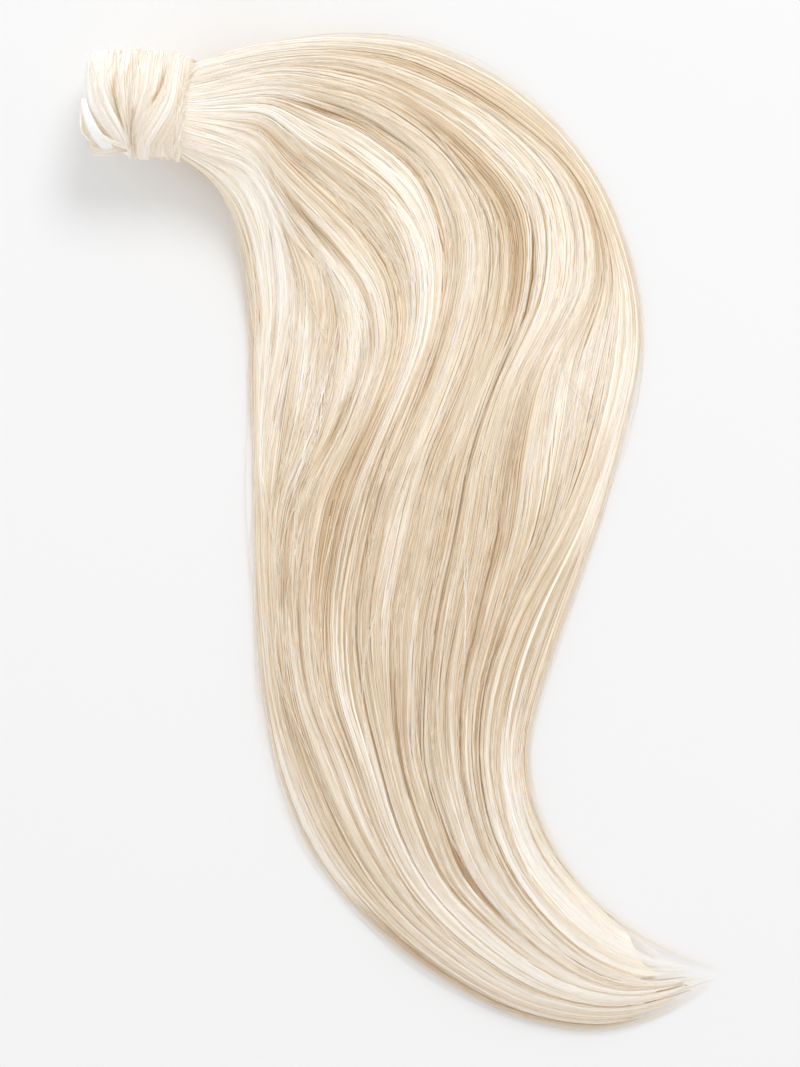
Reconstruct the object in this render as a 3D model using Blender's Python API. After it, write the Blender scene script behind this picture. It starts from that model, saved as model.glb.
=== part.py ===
"""A wrap-around ponytail hairpiece, laid out flat on a table.

Metres, +Z up, the table at z = 0. The socket for the wearer's own hair opens towards -X. The
hair leaves the wrap towards +X, falls towards -Y and turns its tip back towards +X. The whole
piece hangs under one empty, which puts the origin at the centre of its footprint.
"""

import math
from collections import namedtuple

import bmesh
import bpy
import numpy as np

# Fits
GAP = 0.0003
NOTCH_GAP = 0.0005
FLOOR_PRESS = 0.0007

# The sewn band that the hair is carried on, open at the head end
SOCKET_RADIUS = 0.0130
BAND_WALL = 0.0018
BAND_LENGTH = 0.0345
BAND_PROUD = 0.0008

# The strand of hair wound round the band
WRAP_RADIUS = 0.0222
WRAP_LENGTH = 0.0402
WRAP_HEAD_DROP = 0.0042
WRAP_EXIT_DROP = 0.0020
WRAP_EXIT_WALL = 0.0016
WRAP_EXIT_SLANT = 0.0028
WRAP_EXIT_SETBACK = 0.0010
WRAP_EXIT_LEAN = 0.0026
WRAP_RIDGE_DEPTH = 0.0011
PINCH_SHARE = 0.38
PINCH_TURN = 194.0
PINCH_SPREAD = 52.0
PINCH_DENT = 0.0022
PINCH_SQUEEZE = 0.32
NOTCH_DEPTH = 0.0120
NOTCH_TURN = 170.0
NOTCH_SPREAD = 52.0
FLARE_LENGTH = 0.0075

# The white hook-and-loop tab and the loose end of the wound strand, both in the notch
TAB_WIDTH = 0.0048
TAB_THICKNESS = 0.0014
END_WIDTH = 0.0045
END_RISE = 0.0058
END_UNDER_TAB = 0.0028
STRIP_START_TURN = 90.0
STRIP_END_TURN = 207.0

# The tail of hair
TAIL_REACH = 0.2155
TAIL_DROP = 0.4050
TAIL_THICKNESS = 0.0180
TAIL_EDGE = 0.0016
TAIL_ROOT_DEPTH = 0.0060
LOCK_DEPTH = 0.0030
LOCK_PARTING = 0.003

# Colours
BLONDE = (0.83, 0.71, 0.53, 1.0)
WHITE = (0.92, 0.91, 0.88, 1.0)

ROUND_SIDES = 40
RINGS_PER_SECTION = 3
ENDS_SPLIT_AT = 17.5
END_RINGS = 5

# Sections across the tail, from the wrap to the tip. Left is the side that falls straight down
# from the wrap, right is the outer sweep. Places are shares of TAIL_REACH and TAIL_DROP from
# where the tail leaves the wrap, thick is a share of TAIL_THICKNESS, and round says how much
# of the gathered bundle's round form is left. Columns a to i say where nine flow lines of the
# hair cross the section, as shares of its width.
Section = namedtuple(
    "Section", "left_x left_y right_x right_y thick round a b c d e f g h i"
)
SECTIONS = [
    Section(0.045, -0.077, 0.091, 0.054, 1.00, 0.80, 0.20, 0.26, 0.33, 0.50, 0.63, 0.73, 0.82, 0.89, 0.95),
    Section(0.080, -0.107, 0.193, 0.065, 1.02, 0.52, 0.26, 0.30, 0.35, 0.56, 0.70, 0.79, 0.87, 0.92, 0.96),
    Section(0.100, -0.145, 0.311, 0.069, 1.04, 0.30, 0.24, 0.27, 0.31, 0.52, 0.71, 0.79, 0.89, 0.93, 0.965),
    Section(0.112, -0.185, 0.458, 0.058, 1.04, 0.14, 0.18, 0.25, 0.30, 0.505, 0.71, 0.78, 0.88, 0.93, 0.96),
    Section(0.119, -0.221, 0.629, 0.011, 1.02, 0.05, 0.13, 0.25, 0.31, 0.50, 0.69, 0.76, 0.885, 0.93, 0.965),
    Section(0.118, -0.256, 0.760, -0.065, 1.08, 0.00, 0.09, 0.235, 0.335, 0.48, 0.635, 0.75, 0.885, 0.955, 0.98),
    Section(0.120, -0.296, 0.832, -0.157, 1.12, 0.00, 0.055, 0.195, 0.32, 0.43, 0.54, 0.675, 0.81, 0.92, 0.975),
    Section(0.124, -0.347, 0.850, -0.241, 1.12, 0.00, 0.025, 0.155, 0.25, 0.345, 0.455, 0.58, 0.68, 0.80, 0.96),
    Section(0.126, -0.402, 0.816, -0.332, 1.06, 0.00, 0.020, 0.09, 0.165, 0.28, 0.39, 0.53, 0.65, 0.795, 0.95),
    Section(0.127, -0.463, 0.770, -0.417, 0.98, 0.00, 0.020, 0.07, 0.135, 0.25, 0.36, 0.52, 0.665, 0.815, 0.92),
    Section(0.133, -0.528, 0.713, -0.503, 0.90, 0.00, 0.025, 0.075, 0.13, 0.24, 0.355, 0.51, 0.67, 0.80, 0.86),
    Section(0.146, -0.599, 0.665, -0.579, 0.86, 0.00, 0.035, 0.095, 0.155, 0.265, 0.39, 0.53, 0.675, 0.79, 0.84),
    Section(0.173, -0.669, 0.638, -0.644, 0.86, 0.00, 0.06, 0.13, 0.22, 0.325, 0.43, 0.54, 0.695, 0.80, 0.845),
    Section(0.231, -0.745, 0.647, -0.700, 0.90, 0.00, 0.07, 0.15, 0.24, 0.33, 0.43, 0.55, 0.69, 0.79, 0.84),
    Section(0.324, -0.810, 0.684, -0.748, 0.92, 0.00, 0.065, 0.14, 0.22, 0.30, 0.40, 0.51, 0.65, 0.76, 0.81),
    Section(0.448, -0.866, 0.739, -0.788, 0.88, 0.00, 0.055, 0.135, 0.205, 0.28, 0.385, 0.50, 0.61, 0.72, 0.78),
    Section(0.600, -0.911, 0.803, -0.821, 0.76, 0.00, 0.05, 0.125, 0.195, 0.27, 0.36, 0.47, 0.57, 0.68, 0.75),
    Section(0.752, -0.929, 0.860, -0.841, 0.56, 0.00, 0.05, 0.13, 0.20, 0.27, 0.35, 0.44, 0.52, 0.64, 0.73),
    Section(0.875, -0.919, 0.917, -0.856, 0.36, 0.00, 0.06, 0.15, 0.22, 0.29, 0.37, 0.45, 0.53, 0.62, 0.73),
    Section(0.990, -0.888, 1.010, -0.870, 0.15, 0.00, 0.08, 0.18, 0.27, 0.36, 0.46, 0.55, 0.65, 0.76, 0.86),
]
ROOT_FLOW = (0.12, 0.20, 0.30, 0.44, 0.56, 0.67, 0.77, 0.86, 0.94)
FLOW_AT = (0.0, 0.10, 0.20, 0.30, 0.40, 0.50, 0.60, 0.70, 0.80, 0.88, 1.0)

# Locks side by side across the flow: width as a share of the hair, proud as a share of
# LOCK_DEPTH above or below the tail's smooth form.
Lock = namedtuple("Lock", "width proud")
LOCKS = [
    Lock(0.070, 0.00),
    Lock(0.060, 0.30),
    Lock(0.090, 0.05),
    Lock(0.075, -0.20),
    Lock(0.070, 0.45),
    Lock(0.105, 0.10),
    Lock(0.080, 0.35),
    Lock(0.095, 0.00),
    Lock(0.085, 0.40),
    Lock(0.080, 0.10),
    Lock(0.100, 0.30),
    Lock(0.090, 0.00),
]

# The loose ends at the tip: how many locks each gathers, and the section where it ends.
TailEnd = namedtuple("TailEnd", "locks ends_at")
TAIL_ENDS = [
    TailEnd(2, 19.25),
    TailEnd(3, 19.70),
    TailEnd(2, 20.00),
    TailEnd(3, 19.90),
    TailEnd(2, 19.30),
]

# Ridges of the wound strand from the head end to the exit, in the same terms as the locks.
RIDGES = [
    Lock(0.9, -0.20),
    Lock(1.2, 0.30),
    Lock(0.8, -0.10),
    Lock(1.3, 0.45),
    Lock(1.0, 0.00),
    Lock(0.8, -0.35),
    Lock(1.1, 0.25),
    Lock(1.5, 0.50),
    Lock(0.7, 0.00),
]
SHOULDERS = (0.27, 0.73)

AXIS_HEIGHT = WRAP_RADIUS - FLOOR_PRESS
BAND_RADIUS = SOCKET_RADIUS + BAND_WALL
WRAP_BORE = BAND_RADIUS + GAP
EXIT_RADIUS = WRAP_RADIUS - WRAP_EXIT_DROP - WRAP_EXIT_WALL - GAP
ROOT_RADIUS = SOCKET_RADIUS - GAP
BAND_HEAD_X = -WRAP_LENGTH - BAND_PROUD
BAND_TAIL_X = BAND_HEAD_X + BAND_LENGTH


def blend(low, high, share):
    return low + (high - low) * share


def bump(turn, centre, spread):
    """1 at the centre, falling smoothly to 0 away from it. Angles in degrees."""
    away = (turn - centre + 180.0) % 360.0 - 180.0
    return math.exp(-((away / spread) ** 2))


def around_axis(x, radius, turn, lean=0.0):
    """A point beside the socket's axis. Turn 0 faces +Y, 90 faces up, 180 faces -Y. The lean
    moves it towards -Y."""
    angle = math.radians(turn)
    z = AXIS_HEIGHT + radius * math.sin(angle)
    return (x, radius * math.cos(angle) - lean, max(z, 0.0))


def along_table(rows, place):
    """A row read anywhere along a table, on a smooth curve through its rows."""
    last = len(rows) - 1
    place = min(max(place, 0.0), float(last))
    start = min(int(place), last - 1)
    t = place - start
    before = rows[start - 1] if start else 2 * rows[0] - rows[1]
    after = rows[start + 2] if start + 2 <= last else 2 * rows[last] - rows[last - 1]
    here, there = rows[start], rows[start + 1]
    return 0.5 * (
        2 * here
        + (there - before) * t
        + (2 * before - 5 * here + 4 * there - after) * t**2
        + (3 * here - before - 3 * there + after) * t**3
    )


def ridge_columns(table):
    """Places across a table of locks: each one's edge and shoulders, then the far edge.
    Each column is (share, proud, at_edge)."""
    total = sum(row.width for row in table)
    columns, start = [], 0.0
    for row in table:
        columns.append((start / total, 0.0, True))
        columns += [((start + row.width * t) / total, row.proud, False) for t in SHOULDERS]
        start += row.width
    return columns + [(1.0, 0.0, True)]


def new_part(name, vertices, faces, material, parent):
    mesh = bpy.data.meshes.new(name)
    work = bmesh.new()
    made = [work.verts.new(point) for point in vertices]
    for face in faces:
        work.faces.new([made[index] for index in face])
    bmesh.ops.recalc_face_normals(work, faces=work.faces)
    if work.calc_volume(signed=True) < 0:
        bmesh.ops.reverse_faces(work, faces=work.faces)
    work.to_mesh(mesh)
    work.free()
    mesh.shade_smooth()
    mesh.set_sharp_from_angle(angle=math.radians(50))
    mesh.materials.append(material)
    part = bpy.data.objects.new(name, mesh)
    bpy.context.scene.collection.objects.link(part)
    part.parent = parent
    return part


def closed_sleeve(loops):
    """Vertices and faces of a wall swept round a hole, its loops joined first to last."""
    sides, count = len(loops[0]), len(loops)
    vertices = [point for loop in loops for point in loop]
    faces = []
    for row in range(count):
        for side in range(sides):
            here, there = row * sides, (row + 1) % count * sides
            turned = (side + 1) % sides
            faces.append((here + side, here + turned, there + turned, there + side))
    return vertices, faces


def capped_sweep(rings):
    """Vertices and faces of a solid swept through rings, with a face at each end."""
    sides, count = len(rings[0]), len(rings)
    vertices = [point for ring in rings for point in ring]
    faces = [tuple(range(sides)), tuple(range((count - 1) * sides, count * sides))]
    for row in range(count - 1):
        for side in range(sides):
            here, there = row * sides, (row + 1) * sides
            turned = (side + 1) % sides
            faces.append((here + side, here + turned, there + turned, there + side))
    return vertices, faces


def turns(count):
    return [360.0 * step / count for step in range(count)]


def base_band(material, parent):
    """The fabric band: a plain tube whose flat rim shows at the head end."""
    loops = [
        [around_axis(x, radius, turn) for turn in turns(ROUND_SIDES)]
        for x, radius in (
            (BAND_HEAD_X, BAND_RADIUS),
            (BAND_TAIL_X, BAND_RADIUS),
            (BAND_TAIL_X, SOCKET_RADIUS),
            (BAND_HEAD_X, SOCKET_RADIUS),
        )
    ]
    return new_part("base_band", *closed_sleeve(loops), material, parent)


def wrap_head_x(turn):
    """The wound strand's edge at the head end, cut back where the tab shows."""
    return -WRAP_LENGTH + NOTCH_DEPTH * bump(turn, NOTCH_TURN, NOTCH_SPREAD)


def wrap_exit_x(turn):
    return -WRAP_EXIT_SETBACK + WRAP_EXIT_SLANT * math.cos(math.radians(turn))


def squeezed(share, turn):
    """A ridge's place along the wrap, drawn in towards the pinch."""
    reach = PINCH_SHARE if share < PINCH_SHARE else 1.0 - PINCH_SHARE
    away = (share - PINCH_SHARE) / reach
    drawn = away * (PINCH_SQUEEZE + (1.0 - PINCH_SQUEEZE) * away**2)
    pull = bump(turn, PINCH_TURN, PINCH_SPREAD)
    return PINCH_SHARE + reach * blend(away, drawn, pull)


def wrap_surface(share, proud, at_edge, turn):
    place = squeezed(share, turn)
    x = blend(wrap_head_x(turn), wrap_exit_x(turn), place)
    drop = WRAP_HEAD_DROP if share < 0.5 else WRAP_EXIT_DROP
    radius = WRAP_RADIUS - drop * abs(2 * share - 1) ** 7
    inside = min(1.0, 8 * min(share, 1.0 - share))
    radius += WRAP_RIDGE_DEPTH * inside * (-1.0 if at_edge else proud - 0.5)
    dent = math.exp(-(((share - PINCH_SHARE) / 0.22) ** 2))
    radius -= PINCH_DENT * dent * bump(turn, PINCH_TURN, PINCH_SPREAD / 2)
    return around_axis(x, radius, turn, WRAP_EXIT_LEAN * place**2)


def wrap_bore(share, turn):
    x = blend(wrap_head_x(turn), wrap_exit_x(turn), share)
    flare = max(0.0, 1.0 + (x - wrap_exit_x(turn)) / FLARE_LENGTH)
    radius = blend(WRAP_BORE, EXIT_RADIUS + GAP, flare)
    return around_axis(x, radius, turn, WRAP_EXIT_LEAN * flare)


def wrap_strand(material, parent):
    """The hair wound round the band, as a ridged barrel gathered at one pinch."""
    outer = [
        [wrap_surface(*column, turn) for turn in turns(ROUND_SIDES)]
        for column in ridge_columns(RIDGES)
    ]
    inner = [
        [wrap_bore(share, turn) for turn in turns(ROUND_SIDES)]
        for share in (1.0, 0.90, 0.80, 0.0)
    ]
    return new_part("wrap_strand", *closed_sleeve(outer + inner), material, parent)


def notch_strip(section):
    """Rings of a strip that follows the notch's edge, at the same turns as the wrap's own
    sides. The section gives, for a share of the way along, the ring's corners as distance
    from the wrap's edge and radius."""
    one_side = 360.0 / ROUND_SIDES
    first, last = round(STRIP_START_TURN / one_side), round(STRIP_END_TURN / one_side)
    rings = []
    for side in range(first, last + 1):
        turn = side * one_side
        edge = wrap_head_x(turn) - NOTCH_GAP
        corners = section((side - first) / (last - first))
        rings.append([around_axis(edge - back, radius, turn) for back, radius in corners])
    return rings


def tab_width(share):
    """The strip is narrow where it comes out from the rim."""
    return TAB_WIDTH * min(1.0, 0.35 + 1.3 * share)


def tab_seat(share):
    """Radius of the packed hair that the strip lies on."""
    return BAND_RADIUS + GAP + END_UNDER_TAB * min(1.0, 0.25 + 2.5 * share)


def tab_section(share):
    width, low = tab_width(share), tab_seat(share) + GAP
    far_low = low - 0.1 * END_UNDER_TAB
    high, far_high = low + TAB_THICKNESS, far_low + TAB_THICKNESS
    return ((0.0, low), (width, far_low), (width, far_high), (0.0, high))


def closure_tab(material, parent):
    """The hook-and-loop strip, flat on the hair in the notch."""
    return new_part("closure_tab", *capped_sweep(notch_strip(tab_section)), material, parent)


def end_section(share):
    """Hair packed under the strip, and beyond the strip a rounded lock that swells from its
    tip and tucks in under the wrap."""
    near = tab_width(share) + NOTCH_GAP
    swell = math.sin(math.pi * blend(0.03, 0.86, share)) ** 0.8
    width = END_WIDTH * swell
    low, seat = BAND_RADIUS + GAP, tab_seat(share)
    rise = END_RISE * (0.30 + 0.70 * swell)
    return (
        (0.0, low),
        (near + 0.75 * width, low),
        (near + width, low + 0.35 * rise),
        (near + 0.80 * width, low + 0.80 * rise),
        (near + 0.45 * width, low + rise),
        (near, low + 0.85 * rise),
        (near, seat - 0.1 * END_UNDER_TAB),
        (0.0, seat),
    )


def strand_end(material, parent):
    return new_part("strand_end", *capped_sweep(notch_strip(end_section)), material, parent)


def section_rows():
    """The section table in metres, with the bundle at the wrap's exit as its first row."""
    sizes = np.array([TAIL_REACH, TAIL_DROP, TAIL_REACH, TAIL_DROP, TAIL_THICKNESS])
    left, right = wrap_exit_x(180) + GAP, wrap_exit_x(0) + GAP
    low, high = -EXIT_RADIUS - WRAP_EXIT_LEAN, EXIT_RADIUS - WRAP_EXIT_LEAN
    rows = [np.array([left, low, right, high, TAIL_THICKNESS, 1.0, *ROOT_FLOW])]
    for section in SECTIONS:
        row = np.array(section, float)
        row[:5] *= sizes
        rows.append(row)
    return rows


def tail_point(row, hair_share, on_top, relief):
    """A point on the tail's skin. The hair share is the place across the flow of the hair, and
    relief is the height above the smooth form as a share of LOCK_DEPTH."""
    left_x, left_y, right_x, right_y, thickness, roundness = row[:6]
    across = float(np.interp(hair_share, FLOW_AT, (0.0, *row[6:], 1.0)))
    away = abs(2 * across - 1)
    circle = math.sqrt(max(0.0, 1 - away**2))
    lens = max(0.0, 1 - away**2.6) ** 0.75
    flat = min(1.0, 4.0 * circle)
    roundness = min(max(roundness, 0.0), 1.0)
    middle = blend(min(TAIL_EDGE, thickness / 2), AXIS_HEIGHT, roundness)
    if on_top:
        height = blend(max(thickness - TAIL_EDGE, 0.0), EXIT_RADIUS, roundness)
        z = middle + height * blend(lens, circle, roundness)
        z += relief * min(LOCK_DEPTH, 0.3 * thickness) * circle
    else:
        depth = blend(min(TAIL_EDGE, thickness / 2), EXIT_RADIUS, roundness)
        z = middle - depth * blend(flat, circle, roundness)
    return (blend(left_x, right_x, across), blend(left_y, right_y, across), max(z, 0.0))


def root_point(x, radius, row, hair_share, on_top):
    """A point of the gathered root inside the wrap, round and without locks."""
    across = float(np.interp(hair_share, FLOW_AT, (0.0, *row[6:], 1.0)))
    height = radius * math.sqrt(max(0.0, 1 - (2 * across - 1) ** 2))
    z = AXIS_HEIGHT + (height if on_top else -height)
    return (x, radius * (2 * across - 1), z)


def end_columns():
    """For each loose end, its columns on top as (hair share, relief) and its columns below."""
    columns = ridge_columns(LOCKS)
    per_lock = 1 + len(SHOULDERS)
    ends, first = [], 0
    for tail_end in TAIL_ENDS:
        last = first + tail_end.locks * per_lock
        top = []
        for index in range(first, last + 1):
            share, proud, at_edge = columns[index]
            relief = -1.0 if at_edge else proud - 0.15
            if index == first and first:
                share += LOCK_PARTING
            if index == last and last < len(columns) - 1:
                share -= LOCK_PARTING
            top.append((share, relief))
        ends.append((top, [share for share, _ in top[::per_lock]]))
        first = last
    return ends


def narrowed(share, middle, keep):
    return middle + (share - middle) * keep


class Skin:
    """Collects the tail's vertices and faces, ring by ring."""

    def __init__(self, ends):
        self.ends = ends
        self.vertices = []
        self.faces = []

    def add(self, point):
        self.vertices.append(point)
        return len(self.vertices) - 1

    def ring(self, point_at, which):
        """Vertex numbers of the chosen end's top and bottom columns. The tail's two outer
        edges are shared by both."""
        top_columns, low_columns = self.ends[which]
        top = [self.add(point_at(share, True, relief)) for share, relief in top_columns]
        low = [self.add(point_at(share, False, 0.0)) for share in low_columns[1:-1]]
        first, last = which == 0, which == len(self.ends) - 1
        left = top[0] if first else self.add(point_at(low_columns[0], False, 0.0))
        right = top[-1] if last else self.add(point_at(low_columns[-1], False, 0.0))
        return top, [left, *low, right]

    def strip(self, here, there):
        """Faces between two rows of vertices of equal length."""
        for index in range(len(here) - 1):
            self.faces.append((here[index], here[index + 1], there[index + 1], there[index]))

    def join(self, before, after):
        for row in (0, 1):
            self.strip(before[row], after[row])

    def join_partings(self, before, after):
        for left, right in zip(range(len(before) - 1), range(1, len(before))):
            for row in (0, 1):
                self.strip(
                    [before[left][row][-1], before[right][row][0]],
                    [after[left][row][-1], after[right][row][0]],
                )


def tail_hair(material, parent):
    """The tail: a root in the band, locks side by side along the flow, and loose ends."""
    rows = section_rows()
    ends = end_columns()
    skin = Skin(ends)
    everything = range(len(ends))
    rings = []
    root = (
        (BAND_TAIL_X - TAIL_ROOT_DEPTH, ROOT_RADIUS),
        (BAND_TAIL_X + GAP, ROOT_RADIUS),
        (blend(BAND_TAIL_X, wrap_exit_x(180), 0.5), blend(ROOT_RADIUS, EXIT_RADIUS, 0.2)),
    )
    for x, radius in root:

        def at_root(share, on_top, relief, x=x, radius=radius):
            return root_point(x, radius, rows[0], share, on_top)

        rings.append([skin.ring(at_root, which) for which in everything])
    count = int(ENDS_SPLIT_AT * RINGS_PER_SECTION)
    for step in range(count + 1):
        row = along_table(rows, step / RINGS_PER_SECTION)

        def at_row(share, on_top, relief, row=row, emerged=min(1.0, step / 4)):
            return tail_point(row, share, on_top, relief * emerged)

        rings.append([skin.ring(at_row, which) for which in everything])
    for before, after in zip(rings, rings[1:]):
        for which in everything:
            skin.join(before[which], after[which])
        skin.join_partings(before, after)
    cap = [index for top, _ in rings[0] for index in top]
    for _, low in reversed(rings[0]):
        cap += [index for index in reversed(low) if index not in cap]
    skin.faces.append(tuple(cap))
    split = rings[-1]
    for left, right in zip(split, split[1:]):
        skin.faces.append((left[0][-1], right[0][0], right[1][0], left[1][-1]))
    for which in everything:
        finish_end(skin, rows, which, split[which])
    return new_part("tail_hair", skin.vertices, skin.faces, material, parent)


def finish_end(skin, rows, which, last):
    """One loose end, narrowing to a point."""
    top_columns, _ = skin.ends[which]
    middle = (top_columns[0][0] + top_columns[-1][0]) / 2
    ends_at = TAIL_ENDS[which].ends_at
    for step in range(1, END_RINGS + 1):
        share = step / (END_RINGS + 1)
        row = along_table(rows, blend(ENDS_SPLIT_AT, ends_at, share))
        row[4] *= 1 - 0.55 * share

        def at_end(hair_share, on_top, relief, row=row, keep=(1 - share) ** 0.65):
            return tail_point(row, narrowed(hair_share, middle, keep), on_top, relief)

        ring = skin.ring(at_end, which)
        skin.join(last, ring)
        for side in (0, -1):
            if last[0][side] != last[1][side]:
                skin.strip([last[0][side], last[1][side]], [ring[0][side], ring[1][side]])
        last = ring
    row = along_table(rows, ends_at)
    x, y, z = tail_point(row, middle, True, 0.0)
    point = skin.add((x, y, z / 2))
    loop = last[0] + [index for index in reversed(last[1]) if index not in last[0]]
    for here, there in zip(loop, loop[1:] + loop[:1]):
        skin.faces.append((here, there, point))


def new_material(name, colour, roughness):
    material = bpy.data.materials.new(name)
    material.use_nodes = True
    shader = material.node_tree.nodes["Principled BSDF"]
    shader.inputs["Base Color"].default_value = colour
    shader.inputs["Roughness"].default_value = roughness
    shader.inputs["Metallic"].default_value = 0.0
    return material


def centre_on_origin(frame, parts):
    """Moves the frame so that the origin is at the bottom centre of the whole piece."""
    corners = np.array([vertex.co for part in parts for vertex in part.data.vertices])
    low, high = corners.min(axis=0), corners.max(axis=0)
    frame.location = (-(low[0] + high[0]) / 2, -(low[1] + high[1]) / 2, -low[2])


def build():
    for old in list(bpy.data.objects):
        bpy.data.objects.remove(old)
    frame = bpy.data.objects.new("hairpiece_frame", None)
    bpy.context.scene.collection.objects.link(frame)
    hair = new_material("blonde_hair", BLONDE, 0.42)
    white = new_material("white_band", WHITE, 0.75)
    parts = [
        base_band(white, frame),
        wrap_strand(hair, frame),
        closure_tab(white, frame),
        strand_end(hair, frame),
        tail_hair(hair, frame),
    ]
    centre_on_origin(frame, parts)


build()
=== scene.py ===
import math
from collections import namedtuple

import bmesh
import bpy
import numpy as np
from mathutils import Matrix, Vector


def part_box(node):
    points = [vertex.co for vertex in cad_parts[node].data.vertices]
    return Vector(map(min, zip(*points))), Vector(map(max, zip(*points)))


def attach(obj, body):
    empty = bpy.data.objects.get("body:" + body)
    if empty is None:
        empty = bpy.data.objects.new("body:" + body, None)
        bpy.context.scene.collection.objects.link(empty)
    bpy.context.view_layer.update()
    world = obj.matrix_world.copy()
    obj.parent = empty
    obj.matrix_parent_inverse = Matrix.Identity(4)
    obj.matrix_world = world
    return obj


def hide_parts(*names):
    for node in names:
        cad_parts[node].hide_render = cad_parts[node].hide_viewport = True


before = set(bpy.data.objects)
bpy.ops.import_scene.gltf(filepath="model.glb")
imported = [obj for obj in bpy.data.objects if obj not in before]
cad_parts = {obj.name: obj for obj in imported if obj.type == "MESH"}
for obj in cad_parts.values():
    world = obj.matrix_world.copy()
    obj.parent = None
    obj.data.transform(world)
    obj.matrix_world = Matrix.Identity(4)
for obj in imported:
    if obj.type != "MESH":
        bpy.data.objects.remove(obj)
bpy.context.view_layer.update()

# Where the hairpiece lies: the socket's axis, and the plane where the tail leaves the wrap.
BAND_SETBACK = 0.0065
band_low, band_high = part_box("base_band")
EXIT = Vector((band_high[0] + BAND_SETBACK, (band_low[1] + band_high[1]) / 2, 0.0))
AXIS_HEIGHT = (band_low[2] + band_high[2]) / 2
BAND_RADIUS = (band_high[2] - band_low[2]) / 2
BAND_HEAD_X = band_low[0] - EXIT.x
BAND_TAIL_X = band_high[0] - EXIT.x

# The wound strand, in metres and degrees
WRAP_RADIUS = 0.0222
WRAP_LENGTH = 0.0402
WRAP_HEAD_DROP = 0.0042
WRAP_EXIT_DROP = 0.0020
WRAP_EXIT_WALL = 0.0016
WRAP_EXIT_SLANT = 0.0028
WRAP_EXIT_SETBACK = 0.0010
WRAP_EXIT_LEAN = 0.0026
WRAP_RIDGE_DEPTH = 0.0007
PINCH_BACK = 0.0225
PINCH_SHARE = 0.44
PINCH_TURN = 148.0
PINCH_SPREAD = 44.0
PINCH_DENT = 0.0024
PINCH_SQUEEZE = 0.10
NOTCH_DEPTH = 0.0120
NOTCH_TURN = 170.0
NOTCH_SPREAD = 52.0
GAP = 0.0003
NOTCH_GAP = 0.0005

# The white strip and the loose end of the wound strand
TAB_WIDTH = 0.0048
TAB_THICKNESS = 0.0014
END_WIDTH = 0.0045
END_RISE = 0.0058
END_UNDER_TAB = 0.0028
STRIP_LIFT = 0.0016
STRIP_START_TURN = 90.0
STRIP_END_TURN = 207.0

# The tail, in metres. From the place BODY_FANS on, the mass of hair follows the five ends, and
# it stops BODY_SHORT places before them.
TAIL_REACH = 0.2155
TAIL_DROP = 0.4050
TAIL_THICKNESS = 0.0180
TAIL_EDGE = 0.0016
LOCK_DEPTH = 0.0034
BODY_DEPTH = 0.0015
BODY_FANS = 16.0
BODY_SHORT = 0.45
BEND_WEIGHT = 0.10
EXIT_RADIUS = WRAP_RADIUS - WRAP_EXIT_DROP - WRAP_EXIT_WALL - GAP

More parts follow.
